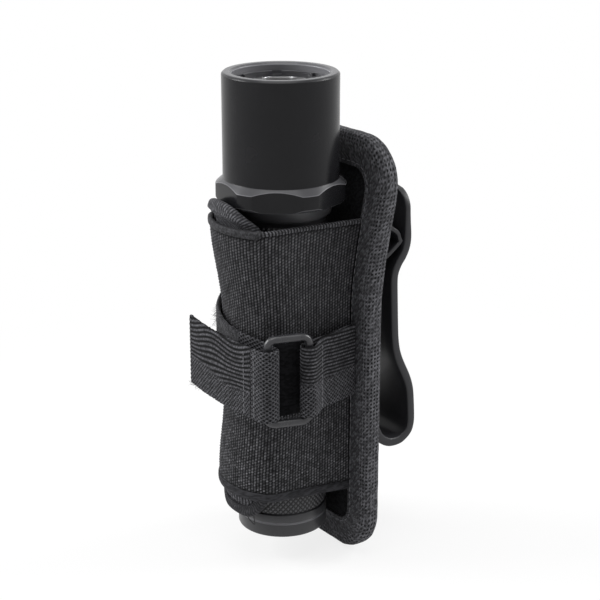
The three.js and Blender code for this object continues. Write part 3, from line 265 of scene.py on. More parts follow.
def loft(name, rings, material, closed=False, **options):
    """Joins rings of points, each a closed loop, into a solid skin mapped in millimetres."""
    rings = np.asarray(rings, float)
    count, around = rings.shape[:2]
    stride = np.linalg.norm(np.roll(rings, -1, axis=0) - rings, axis=2).mean(axis=1)
    along = np.concatenate([[0], np.cumsum(stride)])
    steps = np.linalg.norm(np.roll(rings, -1, axis=1) - rings, axis=2)
    across = np.concatenate([np.zeros((count, 1)), np.cumsum(steps, axis=1)], axis=1)
    spans = count if closed else count - 1
    i, j = np.meshgrid(np.arange(spans), np.arange(around), indexing="ij")
    next_i = (i + 1) % count
    corners = [
        (along[i], across[i, j]), (along[i], across[i, j + 1]),
        (along[i + 1], across[next_i, j + 1]), (along[i + 1], across[next_i, j]),
    ]
    maps = np.stack([np.stack(corner, axis=-1) for corner in corners], axis=2).reshape(-1, 2)
    if not closed:
        for end, place in ((0, 0), (count - 1, along[count - 1])):
            maps = np.concatenate([maps, np.stack([np.full(around, place), across[end, :-1]], axis=-1)])
    faces = loft_faces(count, around, closed)
    return build_mesh(name, rings.reshape(-1, 3), faces, maps, material, **options)


def spun(name, outline, angles, material, centre=(0, 0, 0), axis="z", **options):
    """Spins closed [radius, height] outlines, one for all angles or one for each, about an axis."""
    outline = np.broadcast_to(np.asarray(outline, float), (len(angles), *np.shape(outline)[-2:]))
    radius, height = outline[..., 0], outline[..., 1]
    cos, sin = np.cos(angles)[:, None], np.sin(angles)[:, None]
    places = (radius * cos, radius * sin, height) if axis == "z" else (radius * cos, height, radius * sin)
    rings = np.stack(places, axis=-1) + np.array(centre, float)
    return loft(name, rings, material, closed=True, weld=True, **options)


def even_angles(count):
    return np.linspace(0, TAU, count, endpoint=False)


def outline_at(angles, *points):
    """An outline for each angle, from (radius, height) points that are the same all round or vary."""
    places = [np.stack([np.broadcast_to(value, len(angles)) for value in point], axis=-1) for point in points]
    return np.stack(places, axis=1)


def thin_tubes(name, middle, aside, lift, girth, around, material, sharp, flat=1.0):
    """Short tubes along rows of points, with a girth at each point, as one mesh."""
    turn = even_angles(around)[:, None]
    section = aside[:, :, None] * np.cos(turn) + lift[:, :, None] * np.sin(turn) * flat
    points = middle[:, :, None] + girth[:, None, None] * section
    count, along = middle.shape[:2]
    faces = []
    for k in range(count):
        faces += loft_faces(along, around, False, first=k * along * around)
    return build_mesh(name, points.reshape(-1, 3), faces, None, material, sharp=sharp)


def place_piece(piece, body, slot, *nodes):
    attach(piece, body)
    if nodes:
        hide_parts(*nodes)


# Materials

def linear(code):
    """An sRGB hex colour as linear RGBA."""
    parts = [int(code[k:k + 2], 16) / 255 for k in (0, 2, 4)]
    return [*(p / 12.92 if p <= 0.04045 else ((p + 0.055) / 1.055) ** 2.4 for p in parts), 1]


def fill(tree, node, inputs):
    """Sets a node's inputs to values, or links them to sockets or to the first output of a node."""
    for key, value in inputs.items():
        if isinstance(value, bpy.types.Node):
            value = value.outputs[0]
        if isinstance(value, bpy.types.NodeSocket):
            tree.links.new(value, node.inputs[key])
        else:
            node.inputs[key].default_value = value


def add(tree, kind, inputs=None, **settings):
    """Adds a node, with its settings, values and links."""
    node = tree.nodes.new(kind)
    for key, value in settings.items():
        setattr(node, key, value)
    fill(tree, node, inputs or {})
    return node


def new_material(name, **values):
    """A material whose shader has the given values on its own sockets."""
    material = bpy.data.materials.new(name)
    material.use_nodes = True
    tree = material.node_tree
    shader = tree.nodes["Principled BSDF"]
    fill(tree, shader, {key.replace("_", " "): value for key, value in values.items()})
    return material, tree, shader


def plain_finish(name, low, high, crest=None, size=6, grain_size=0.4, relief=0.02, roughness=(0.4, 0.5),
                 **values):
    """A hard surface with a faint tint, a faint grain and roughness that varies a little.

    The sizes are in millimetres. With a crest colour, it is paler where the mesh's crown is high: a painted
    highlight.
    """
    material, tree, shader = new_material(name, **values)
    place = add(tree, "ShaderNodeTexCoord").outputs["Object"]
    places = add(tree, "ShaderNodeMapping", {"Vector": place, "Scale": (1 / MM, 1 / MM, 1 / MM)})
    cloud = add(tree, "ShaderNodeTexNoise", {"Vector": places, "Scale": 1 / size, "Detail": 3.0})
    tint = add(tree, "ShaderNodeMix", {0: cloud, 6: linear(low), 7: linear(high)}, data_type="RGBA")
    if crest:
        crown = add(tree, "ShaderNodeAttribute", attribute_name="crown").outputs["Fac"]
        mixed = {0: crown, 6: tint.outputs[2], 7: linear(crest)}
        tint = add(tree, "ShaderNodeMix", mixed, data_type="RGBA")
    gloss = add(tree, "ShaderNodeMapRange", {
        "Value": cloud, "From Min": 0.3, "From Max": 0.7, "To Min": roughness[0], "To Max": roughness[1],
    })
    grain = add(tree, "ShaderNodeTexNoise", {"Vector": places, "Scale": 1 / grain_size, "Detail": 2.0})
    bump = add(tree, "ShaderNodeBump", {"Height": grain, "Distance": relief * MM})
    fill(tree, shader, {"Base Color": tint.outputs[2], "Roughness": gloss, "Normal": bump})
    return material


# One period of the wave texture at scale 1
WAVE_PERIOD = TAU / 20


def threads(tree, places, angle, spacing, wander=0.5):
    """A set of parallel threads at an angle in degrees, with their spacing in millimetres."""
    turned = add(tree, "ShaderNodeMapping", {"Vector": places, "Rotation": (0, 0, math.radians(angle))})
    wave = add(tree, "ShaderNodeTexWave", {
        "Vector": turned, "Scale": WAVE_PERIOD / spacing, "Distortion": wander, "Detail": 1.0,
        "Detail Scale": 1.5,
    })
    return wave.outputs["Fac"]


def yarn_cells(tree, places, angle, length, width):
    """Crossings of yarn of a length and width in millimetres: the place in each, and its own luck."""
    turned = add(tree, "ShaderNodeMapping", {
        "Vector": places, "Rotation": (0, 0, math.radians(angle)), "Scale": (length, width, 1),
    }, vector_type="TEXTURE")
    cells = add(tree, "ShaderNodeTexVoronoi", {
        "Vector": turned, "Scale": 1.0, "Randomness": 0.75,
    }, voronoi_dimensions="2D")
    return cells.outputs["Distance"], cells.outputs["Color"]


def product(tree, *factors):
    """Multiplies values. One given as (value, low, high, least, most) is stretched between those first."""
    result = None
    for factor in factors:
        if isinstance(factor, tuple):
            ranges = dict(zip(("Value", "From Min", "From Max", "To Min", "To Max"), factor))
            factor = add(tree, "ShaderNodeMapRange", ranges)
        if result is not None:
            factor = add(tree, "ShaderNodeMath", {0: result, 1: factor}, operation="MULTIPLY")
        result = factor
    return result


def woven(name, dark, light, relief, cell, sets=(), holes=False, crown=False, uneven=0.6, rough=0.8,
          shine=0.12, **values):
    """Cloth of yarn crossings, with sets of threads or rows of holes, each (angle, spacing).

    With crown, the yarn is in the mesh, and its crowns are painted lighter than the gaps: painted sheen on
    them, painted shade in the gaps.
    With holes, the mesh marks where their pattern fades and where the cloth is painted darker as painted
    shade.
    """
    material, tree, shader = new_material(name, Roughness=rough, Specular_IOR_Level=shine, **values)
    where = add(tree, "ShaderNodeUVMap", uv_map=MAP_NAME)
    near, luck = yarn_cells(tree, where, *cell)
    wear = add(tree, "ShaderNodeTexNoise", {"Vector": where, "Scale": 0.22, "Detail": 3.0})
    factors = [(near, 0.2, 0.75, 1.0, 0.35), (luck, 0.3, 0.7, 1 - uneven, 1 + uneven)]
    if holes or crown:
        marked = add(tree, "ShaderNodeAttribute", attribute_name="crown").outputs["Fac"]
    if sets:
        pattern = product(tree, *[threads(tree, where, angle, spacing) for angle, spacing in sets])
        if holes:
            pattern = product(tree, (pattern, 0.1, 0.65, 0, 1), (wear, 0.4, 0.6, 0.6, 1), marked)
            # Where the mark is low, the cloth is painted darker: painted shade.
            pattern = product(tree, (pattern, 0, 1, 0.85, 0.0), (marked, 0.35, 1, 0.6, 1))
        factors.append(pattern)
    if crown:
        factors.append(marked)
    # Each yarn crossing is painted lighter at its middle than at its edges: painted sheen on the yarn,
    # painted shade between.
    yarn = product(tree, *factors, (wear, 0.35, 0.65, 0.9, 1.1))
    tint = add(tree, "ShaderNodeMix", {0: yarn, 6: linear(dark), 7: linear(light)}, data_type="RGBA")
    bump = add(tree, "ShaderNodeBump", {"Height": yarn, "Distance": relief * MM})
    fill(tree, shader, {"Base Color": tint.outputs[2], "Normal": bump})
    return material


# Hard anodising leaves aluminium a dark satin grey-black whose blasted grain softens every highlight.
# Turned rims, the collar's chamfers and the bore are painted paler where the mesh marks them: a painted
# highlight.
anodised = plain_finish(
    "hard_anodised_aluminium", "141416", "19191b", "8c8c90", size=9, grain_size=0.25, relief=0.006,
    roughness=(0.22, 0.28), Specular_IOR_Level=0.18,
)
# The knurl's crests are painted lighter as a painted highlight, and its grooves stay dark as painted shade.
knurl_finish_black = plain_finish(
    "anodised_knurl", "050506", "08080a", "8a8a8e", size=9, grain_size=0.25, relief=0.012,
    roughness=(0.34, 0.42), Specular_IOR_Level=0.3,
)
# Black nickel plate on the turned ring is a shade paler than the head, with a soft highlight.
turned_ring = plain_finish(
    "black_nickel_ring", "3c3c3f", "4a4a4d", size=4, grain_size=0.2, relief=0.01, roughness=(0.3, 0.4),
    Specular_IOR_Level=0.4,
)
# Nylon injection moulded in a spark-eroded tool: a fine even grain and a broad soft sheen.
moulded_nylon = plain_finish(
    "moulded_nylon", "212124", "2a2a2d", size=11, grain_size=0.35, relief=0.025, roughness=(0.36, 0.46),
    Specular_IOR_Level=0.3,
)
# Epoxy-coated spring wire is smooth and takes sharper highlights.
coated_wire = plain_finish(
    "coated_steel_wire", "29292c", "333336", size=5, grain_size=0.5, relief=0.012, roughness=(0.24, 0.34),
    Specular_IOR_Level=0.5,
)
# Moulded nitrile rubber is matt and nearly black, with hardly a highlight.
nitrile = plain_finish("nitrile_rubber", "141414", "1b1b1b", size=3, relief=0.02, roughness=(0.68, 0.8))
# Machined brass is a warm yellow that fine tool marks keep from mirroring.
machined_brass = plain_finish(
    "machined_brass", "b08d4a", "bd9a55", size=2, relief=0.01, roughness=(0.28, 0.4), Metallic=1.0,
)
# Nickel plate makes drawn steel a bright, slightly grey metal.
spring_steel = plain_finish(
    "nickel_plated_steel", "8f9193", "a5a7a9", size=2, relief=0.008, roughness=(0.22, 0.34), Metallic=1.0,
)
# White solder mask is an even enamel, nearly without grain.
solder_mask = plain_finish("white_solder_mask", "dededa", "ecece8", size=1, relief=0.01)
# The phosphor shows yellow through its smooth clear dome.
phosphor = plain_finish("led_phosphor_under_dome", "d2bf52", "e0cf6a", size=0.5, roughness=(0.2, 0.3))
# Shrink wrap is a thin blue film, drawn tight and fairly glossy.
shrink_wrap = plain_finish("cell_shrink_wrap", "24465c", "2c5068", size=8, relief=0.02, roughness=(0.3, 0.4))
# Cut polyethylene sheet looks waxy, in an even black.
cut_sheet = plain_finish("polyethylene_sheet", "19191a", "202021", size=8, relief=0.03)
# Vacuum-coated aluminium keeps the mould's light orange peel.
mirror_coat = plain_finish(
    "aluminised_reflector", "d6d8da", "e2e4e6", size=4, grain_size=0.9, relief=0.05, roughness=(0.07, 0.12),
    Metallic=1.0,
)
# Coated and polished glass is clear, and shows only by its reflections.
window_glass = new_material("coated_window_glass", Roughness=0.02, IOR=1.5, Transmission_Weight=1.0)[0]

# Real yarn is finer than a pixel of the picture, so every cloth's threads are drawn coarser than life.
# Coarse black nylon: yarn crowns with a painted sheen stand out of gaps with painted shade.
pack_cloth = woven("woven_pack_nylon", "0a0a0b", "68686c", 0.12, (0, 0.95, 0.85), [(0, 0.85), (90, 0.85)])
# Brushed tricot has no weave to see, and it is painted nearly black: a painted shade over the lining behind
# the head.
brushed_lining = woven(
    "brushed_tricot_lining", "060607", "1c1c1e", 0.06, (15, 0.6, 0.6), rough=0.95, shine=0.08,
)
# Knitted binding shows rows of small holes between its cords.
knitted_tape = woven(
    "knitted_binding_tape", "060607", "68686c", 0.18, (38, 1.3, 0.5), [(4, 1.12), (90, 1.05)], holes=True,
    uneven=0.4, rough=0.75,
)
# The narrow tape is grosgrain: ribs run across it, over its folded edge.
rib_tape = woven(
    "grosgrain_binding_tape", "1e1e20", "646468", 0.05, (60, 0.9, 0.5), [(10, 0.8)], crown=True, uneven=0.4,
    rough=0.75,
)
# Twill shows fine slanting ribs and a low, even sheen.
twill_facing = woven("twill_facing_cloth", "161618", "626266", 0.07, (35, 0.9, 0.5), [(38, 0.72)], uneven=0.4)
# Ribbed elastic is rows of beads of yarn, which are in the mesh; the beads are painted pale as a painted
# sheen, and the gaps dark as painted shade.
ribbed_elastic = woven("ribbed_elastic", "020203", "7e7e82", 0.05, (0, 0.95, 0.5), crown=True, uneven=0.4)
# Folded under and sewn, the elastic is smooth, dark and faintly streaked.
folded_elastic = woven("folded_elastic_hem", "121213", "343437", 0.04, (8, 2.4, 0.5), uneven=0.4)
# Overlock thread wraps a free edge in slanting turns, painted pale as a painted sheen over dark gaps.
overlock = woven(
    "overlock_thread", "040405", "66666a", 0.03, (70, 0.9, 0.45), crown=True, uneven=0.3, rough=0.7,
    shine=0.15,
)
# Nylon webbing has bold ribs, which are in the mesh; their crowns are painted pale as a painted highlight.
webbing = woven(
    "herringbone_webbing", "040405", "606064", 0.05, (24, 1.1, 0.45), crown=True, uneven=0.3, rough=0.78,
)
# A brushed pile of loops scatters the light and looks soft.
loop_pile = woven(
    "brushed_loop_pile", "0b0b0c", "404043", 0.12, (25, 0.6, 0.5), uneven=0.5, rough=0.95, shine=0.1,
    Sheen_Weight=0.1,
)
# A nearly black sheet with no pattern, laid behind the ring's window: a painted shadow.
window_shadow_cloth = woven("painted_shadow_sheet", "0e0e0f", "1c1c1e", 0.02, (0, 1.2, 0.5), rough=0.9, shine=0.05)
# Bonded thread is smooth, and a little paler than the cloth that it holds.
sewing_thread = plain_finish(
    "bonded_sewing_thread", "4c4c50", "68686c", size=1, grain_size=0.3, relief=0.03, roughness=(0.5, 0.65),
)
# A loose end of thread is dull and nearly black.
loose_thread = plain_finish("loose_thread", "08080a", "101012", size=1, relief=0.01, roughness=(0.6, 0.8))
# Single fibres of the pile look grey where they stand in the light.
fibre = plain_finish("loose_pile_fibre", "3a3a3d", "525256", size=1, relief=0.01, roughness=(0.6, 0.8))


def stitch_row(name, path, lifts, body, slot, pitch=2.2, length=1.55, radius=0.15, material=sewing_thread):
    """Lockstitches along a path: short crowned lengths of thread that dip into the cloth at both ends."""
    along = lengths_along(path)
    starts = np.arange(0.3, along[-1] - length, pitch)
    where = starts[:, None] + np.array([0, 0.15, 0.5, 0.85, 1]) * length
    girth = np.array([0.3, 0.85, 1, 0.85, 0.3]) * radius
    middle = points_at(where, along, path)
    lift = unit(points_at(where, along, lifts))
    aside = np.cross(unit(np.gradient(middle, axis=1)), lift)
    row = thin_tubes(name, middle, aside, lift, girth, 6, material, sharp=60, flat=0.8)
    place_piece(row, body, slot)


# Flashlight

def make_head():
    """The head: a turned barrel over a hex collar whose flats cut scallops in the chamfer."""
    sides, sector_turn, half = 6, 60, COLLAR.flat_half
    flat = np.linspace(-half, half, 15)
    land = np.linspace(half, sector_turn - half, 7)[1:-1]
    reach_flat = COLLAR.flat / np.cos(np.radians(flat))
    reach_flat[[0, -1]] -= 0.04
    sector = np.concatenate([flat, land])
    reach_sector = np.concatenate([reach_flat, np.full(len(land), COLLAR.corner)])
    angles = np.radians(np.concatenate([sector + COLLAR.turn + sector_turn * k for k in range(sides)]))
    reach = np.tile(reach_sector, sides)
    low, rim_low = HEAD.bottom, HEAD.top - HEAD.rim
    chamfer_start = COLLAR.corner - COLLAR.bottom_chamfer
    slope = COLLAR.top_chamfer / (COLLAR.corner - HEAD.radius)
    scallop = COLLAR.top - COLLAR.top_chamfer + (COLLAR.corner - reach) * slope
    shoulder = span("lamp_body")[1].z - 1.8
    # Radius and height of each corner, and how much painted highlight the four points of its round edge take
    corners = [
        (HEAD.thread, low, (0, 0, 0, 0)),
        (np.minimum(reach, chamfer_start), low, (0, 0.1, 0.2, 0.1)),
        (reach, low + np.maximum(reach - chamfer_start, 0.05), (0.1, 0.3, 0.2, 0)),
        (reach, scallop, (0, 0.6, 0.6, 0.25)),
        (HEAD.radius, COLLAR.top, (0.25, 0.1, 0, 0)),
        (HEAD.radius, rim_low, (0, 0, 0.05, 0.05)),
        (HEAD.radius - HEAD.rim, HEAD.top, (0.1, 0.3, 0.4, 0.3)),
        (HEAD.bore + HEAD.rim, HEAD.top, (0.3, 0.35, 0.4, 0.35)),
        (HEAD.bore, rim_low, (0.5, 1, 1, 0.6)),
        (HEAD.bore, shoulder, (0.5, 0.5, 0.5, 0.5)),
        (HEAD.thread, shoulder, (0.3, 0.3, 0.3, 0.3)),
    ]
    outline = outline_at(angles, *[corner[:2] for corner in corners])
    painted_highlight = np.concatenate([corner[2] for corner in corners])
    crown = np.broadcast_to(painted_highlight, (len(angles), len(painted_highlight)))
    head = spun("head_shell", soften(outline, HEAD.edge), angles, anodised, sharp=16, crown=crown)
    place_piece(head, "light", "anodised_black", "head")


def make_lens_ring():
    """The lens retaining ring, with its spanner notches cut into the inner edge."""
    low, high = span("lens_retaining_ring")
    outer, inner, notches = high.x, 11.4, 6
    half_notch, notch_depth, notch_reach, no_notch = math.radians(6.4), 0.9, 0.84, 0.02
    edges = [
        (k + 0.5) * TAU / notches + side * (half_notch + step)
        for k in range(notches) for side in (-1, 1) for step in (-0.002, 0.002)
    ]
    angles = np.sort(np.concatenate([even_angles(96), np.mod(edges, TAU)]))
    offset = np.abs(np.mod(angles, TAU / notches) - TAU / notches / 2)
    floor = high.z - np.where(offset < half_notch, notch_depth, no_notch)
    outline = outline_at(
        angles, (inner, low.z), (outer, low.z), (outer, high.z), (inner + notch_reach, high.z),
        (inner + notch_reach - 0.02, floor), (inner, floor),
    )
    ring = spun("lens_ring", outline, angles, turned_ring, sharp=30)
    place_piece(ring, "light", "anodised_black", "lens_retaining_ring")


def make_reflector():
    """A parabolic bowl with a flat rim."""
    low, high = span("reflector")
    hole, bowl, rim, wall = 2.9, 12, high.x, 1.1
    rim_low = high.z - 1
    rise = np.linspace(0.02, 1, 22) ** 1.6
    radius = hole + (bowl - hole) * np.sqrt(rise)
    height = low.z + (high.z - low.z) * rise
    outer_radius = np.minimum(radius[:-1] + wall, rim)[::-1]
    outer_height = np.minimum(height[:-1], rim_low)[::-1]
    outline = np.concatenate([
        [[hole, low.z]], np.stack([radius, height], -1), [[rim, high.z], [rim, rim_low]],
        np.stack([outer_radius, outer_height], -1), [[outer_radius[-1], low.z]],
    ])
    bowl_piece = spun("reflector_bowl", outline, even_angles(96), mirror_coat)
    place_piece(bowl_piece, "light", "reflector_metal", "reflector")


def diamonds(angles, heights):
    """Height of a diamond knurl, from 0 in its grooves to 1 on its flat crests."""
    turns = angles * KNURL.around / TAU
    rises = heights / KNURL.rise
    groove = np.maximum(np.abs(2 * np.mod(turns + rises, 1) - 1), np.abs(2 * np.mod(turns - rises, 1) - 1))
    return smooth(1 - groove, 0.14, 0.62)


def knurled(name, start, rows, end, bright=()):
    """Spins an outline of a start, knurled rows at the given heights, and an end.

    The points of the start with the given numbers are painted bright: a painted glint.
    """
    # Crowns mixing in the crest colour: painted highlight on crests, a paler painted sheen on plain rows, a
    # painted glint on the bright points.
    crest_highlight, plain_sheen, groove_glint, run_out = 0.31, 0.13, 0.65, 0.5
    angles = even_angles(KNURL.around * KNURL.steps)
    knurl_rows = np.stack([np.full(len(rows), BODY.radius), rows], -1)
    outline = np.repeat(np.concatenate([start, knurl_rows, end])[None], len(angles), axis=0)
    numbers = np.arange(len(start), len(start) + len(rows))
    heights = outline[:, numbers, 1]
    low, high = heights.min(), heights.max()
    fade = smooth(heights, low, low + run_out) * (1 - smooth(heights, high - run_out, high))
    crests = diamonds(angles[:, None], heights) * fade
    outline[:, numbers, 0] = BODY.radius - BODY.knurl_depth + BODY.knurl_depth * crests
    crown = np.full(outline.shape[:2], plain_sheen)
    crown[:, numbers] = crests * crest_highlight
    crown[:, list(bright)] = groove_glint
    return spun(name, outline, angles, knurl_finish_black, sharp=60, crown=crown)


def make_battery_tube():
    """The tube: a flared neck under the collar, then diamond knurl down to the tail cap."""
    low, high = span("battery_tube")
    inner, thread, tail_thread = 9.9, 12.3, 11.6
    shoulder = TAIL.length + 0.3
    neck, mouth = BODY.neck, BODY.neck_top
    flare_low = mouth - BODY.flare
    rows = np.arange(shoulder + 0.1, flare_low, KNURL.rise / KNURL.steps)
    start = [[inner, low.z], [tail_thread, low.z], [tail_thread, shoulder - 0.02]]
    flare = arc((neck, flare_low), neck - BODY.radius, 180, 110, 10)
    end = [
        [neck - 0.25, mouth - 0.55], [neck, mouth - 0.3], [neck - 0.1, mouth], [thread, mouth + 0.02],
        [thread, high.z], [inner, high.z],
    ]
    tube = knurled("battery_tube_body", start, rows, np.concatenate([flare, end]))
    place_piece(tube, "light", "anodised_knurled", "battery_tube")


def make_tail_cap():
    """The tail cap: a plain ring with a turned groove, then diamond knurl to its mouth."""
    ring, edge, lip, flare = TAIL.ring, TAIL.edge, TAIL.lip, TAIL.flare
    groove_floor = ring - TAIL.groove_depth
    rows = np.arange(TAIL.ring_top + 0.1, TAIL.length - 0.15, KNURL.rise / KNURL.steps)
    start = [
        [lip, TAIL.lip_top], [lip, flare], [lip + flare * 0.35, flare * 0.45], [lip + flare, 0],
        [ring - edge, 0], [ring - edge * 0.3, edge * 0.3], [ring, edge],
        [ring, TAIL.groove - TAIL.groove_half - 0.06], [ring, TAIL.groove - TAIL.groove_half],
        [groove_floor, TAIL.groove - 0.06], [groove_floor, TAIL.groove + 0.06],
        [ring, TAIL.groove + TAIL.groove_half], [ring, TAIL.ring_top - 0.3],
        [ring - 0.12, TAIL.ring_top - 0.08], [BODY.radius - BODY.knurl_depth, TAIL.ring_top],
    ]
    end = [
        [BODY.radius - 0.1, TAIL.length], [TAIL.thread, TAIL.length], [TAIL.thread, TAIL.cavity_top],
        [TAIL.cavity, TAIL.cavity_top], [TAIL.cavity, TAIL.lip_top],
    ]
    # The groove's lower lip and floor carry a painted glint.
    groove_low_side = (8, 9, 10)
    cap = knurled("tail_cap_body", start, rows, end, bright=groove_low_side)
    place_piece(cap, "tail", "anodised_knurled", "tail_cap")


def make_boot():
    """The rubber boot over the tail switch, domed, with a moulded ring."""
    low, high = span("switch_boot")
    dome, wall, flange_low, rise = 6.9, 0.9, 2.7, 1.2
    radius = np.linspace(0, dome, 14)
    curve = rise * (1 - np.sqrt(1 - (radius / dome) ** 2 * 0.98))
    ring = 0.16 * np.exp(-((radius - 4.4) / 0.4) ** 2)
    under = np.stack([radius, low.z + curve - ring], -1)
    inside = low.z + rise + wall
    outline = np.concatenate([under, [
        [dome, flange_low], [high.x, flange_low], [high.x, high.z], [dome - wall, high.z],
        [dome - wall, inside], [0, inside],
    ]])
    boot = spun("switch_boot_skin", outline, even_angles(72), nitrile)
    place_piece(boot, "tail_button", "rubber_black", "switch_boot")


# Back panel

def lean(z):
    return PANEL.lean * smooth(z, PANEL.lean_low, PANEL.lean_high)


def plate_of(sizes, inset=0):
    """Half width, lowest and highest point and corner radii of a rounded plate, inset from its edge."""
    corners = (sizes.bottom_corner - inset, sizes.top_corner - inset)
    return sizes.half - inset, sizes.bottom + inset, sizes.top - inset, *corners


def plate_grid(plate, rows, columns):
    """Rows of points over a rounded plate: x, z, each row's reach, and the shares of it."""
    half, bottom, top, bottom_corner, top_corner = plate
    heights = np.linspace(bottom + 0.05, top - 0.05, rows)
    corner = np.where(heights > (bottom + top) / 2, top_corner, bottom_corner)
    into = np.maximum(np.maximum(heights - (top - corner), (bottom + corner) - heights), 0)
    reach = (half - corner + np.sqrt(np.maximum(corner ** 2 - into ** 2, 0.01)))[:, None]
    shares = np.linspace(-1, 1, columns)
    return reach * shares, np.repeat(heights[:, None], columns, axis=1), reach, shares


def rounded_plate(half, bottom, top, bottom_corner, top_corner, step):
    """Evenly spaced points round a rounded plate, as x, z and the outward direction."""
    corners = [
        (half - top_corner, top - top_corner, top_corner, 0),
        (top_corner - half, top - top_corner, top_corner, 90),
        (bottom_corner - half, bottom + bottom_corner, bottom_corner, 180),
        (half - bottom_corner, bottom + bottom_corner, bottom_corner, 270),
    ]
    outline = np.concatenate([arc((x, z), r, start, start + 90, 24) for x, z, r, start in corners])
    outline = np.concatenate([outline, outline[:1]])
    count = int(lengths_along(outline)[-1] / step)
    outline = resampled(outline, count + 1)[:-1]
    run = unit(np.roll(outline, -1, axis=0) - np.roll(outline, 1, axis=0))
    return outline, np.stack([run[:, 1], -run[:, 0]], axis=-1)


def bound_edge(name, plate, section, place, material, fade, step=0.75, pucker=0.0, **options):
    """A tape folded round the edge of a plate. The section is [inward, depth] points.

    The fade gives the strength of the tape's pattern by distance from the fold and by height.
    """
    outline, outward = rounded_plate(*plate, step)
    inward, depth = section[:, 0], section[:, 1]
    round_edge = even_angles(len(outline))
    ripple = np.sin(31 * round_edge) + 0.7 * np.sin(53 * round_edge + 1) + 0.5 * np.sin(87 * round_edge + 2)
    edge_share = np.clip(1 - inward / inward.max(), 0, 1)
    inward = inward[None, :] + pucker * ripple[:, None] * edge_share[None, :]
    inner = outline[:, None] - outward[:, None] * inward[..., None]
    rings = place(inner[..., 0], inner[..., 1], np.broadcast_to(depth, inner.shape[:2]))
    from_edge = section[:, 0] + 0.5 * np.minimum(depth, depth.max() - depth)
    crown = fade(np.broadcast_to(from_edge, rings.shape[:2]), rings[..., 2])
    return loft(name, rings, material, closed=True, crown=crown, **options)


def edge_stitches(name, plate, inward, depths, place, slot, **options):
    """A row of stitches that follows a bound edge, lifted from the first depth towards the second."""
    outline, outward = rounded_plate(*plate, 0.5)
    inner = outline - outward * inward
    inner = np.concatenate([inner, inner[:1]])
    low, high = [place(inner[:, 0], inner[:, 1], np.full(len(inner), depth)) for depth in depths]
    stitch_row(name, low, unit(high - low), "holster", slot, **options)


def back_place(x, z, depth):
    """Depth runs back through the panel, in millimetres from its front."""
    return np.stack([x, PANEL.front + lean(z) + depth, z], axis=-1)


def make_panel_binding():
    """Knitted tape folded over the panel's edge and sewn down on both faces."""
    thick, width, tape = PANEL.thick, TAPE.width, TAPE.thick
    front = [
        [width, tape * 0.9], [width - 0.06, 0.3], [width - 0.4, 0.06], [width - 1.4, 0.16], [width - 2.4, 0],
        [4.6, -0.06], [2.6, -0.02], [1.5, 0.06], [0.75, 0.32], [0.25, 0.8], [0.03, 1.5], [0, 2.3],
    ]
    outer = curve_through(front + [[i, thick - d] for i, d in front[::-1]], 44)
    back_inside = [[width, thick - tape], [4, thick - tape], [1.3, thick - tape - 0.1], [tape, thick - 1.6]]
    inside = back_inside + [[i, thick - d] for i, d in back_inside[::-1]]
    section = np.concatenate([outer, inside])
    plate = plate_of(PANEL)

    # Away from the fold the tape's pattern fades, and the tape is painted darker: a painted shade over its
    # inner faces.
    def fade(from_edge, _):
        return 1 - 0.65 * smooth(from_edge, 1.8, 4.6)

    binding = bound_edge(
        "panel_binding", plate, section, back_place, knitted_tape, fade, pucker=0.035, sharp=60,
    )
    place_piece(binding, "holster", "binding_tape", "back_panel_binding")
    for side, depths in (("front", (0.08, -1)), ("back", (thick - 0.08, thick + 1))):
        edge_stitches(f"panel_stitches_{side}", plate, width - 1.3, depths, back_place, "binding_tape")


def make_panel_pad():
    """The foam-padded body of the back panel, as its lining and its cover."""
    plate = plate_of(PANEL, 1)
    _, bottom, top, *_ = plate
    x, z, _, shares = plate_grid(plate, 90, 21)
    rise = (1 - shares ** 2) * smooth(z, bottom, bottom + 12) * (1 - smooth(z, top - 12, top))
    for name, node, cloth, near, far, swell in (
        ("panel_lining", "back_panel_lining", brushed_lining, 0.95, 2.25, -0.25),
        ("panel_cover", "back_panel_cover", pack_cloth, 3.35, 4.35, 0.3),
    ):
        crown = swell * rise
        front = back_place(x, z, near + np.minimum(crown, 0))
        back = back_place(x, z, far + np.maximum(crown, 0))
        pad = loft(name, np.concatenate([front, back[:, ::-1]], axis=1), cloth, sharp=50)
        place_piece(pad, "holster", "nylon_fabric", node)


# Elastic band

BAND_LEVELS = np.linspace(8, 97, 60)


def band_radius(z):
    above = smooth(z, BAND.waist_high, BAND.full_high)
    below = 1 - smooth(z, BAND.full_low, BAND.waist_low)
    return BAND.waist + (BAND.top - BAND.waist) * above + (BAND.bottom - BAND.waist) * below


def band_line(z, proud, count):
    """The band's outside at one height, from seam to seam round the front."""
    radius = float(band_radius(z)) + proud
    corner_angle = math.degrees(math.asin((BAND.corner - BAND.ease / 2) / radius))
    front = arc((0, 0), radius, -90, -90 + corner_angle * 0.9, 20)
    corner_y = BAND.ease - math.sqrt(radius ** 2 - BAND.corner ** 2)
    seam_y = PANEL.front + float(lean(z)) - 0.3
    seam_half = (BAND.side + BAND.seam) / 2
    side = [
        [BAND.corner + proud, corner_y], [BAND.side + proud, 0], [seam_half + proud, seam_y / 2],
        [BAND.seam + proud, seam_y],
    ]
    half = np.concatenate([front, side])
    # Two rounds of cutting the corners
    for _ in range(2):
        eased = np.empty((2 * len(half), 2))
        eased[0], eased[-1] = half[0], half[-1]
        eased[1:-1:2] = 0.75 * half[:-1] + 0.25 * half[1:]
        eased[2:-1:2] = 0.25 * half[:-1] + 0.75 * half[1:]
        half = eased
    half = resampled(half, count)
    return np.concatenate([half[:0:-1] * [-1, 1], half])


def band_table(proud, count):
    return np.stack([band_line(z, proud, count) for z in BAND_LEVELS])


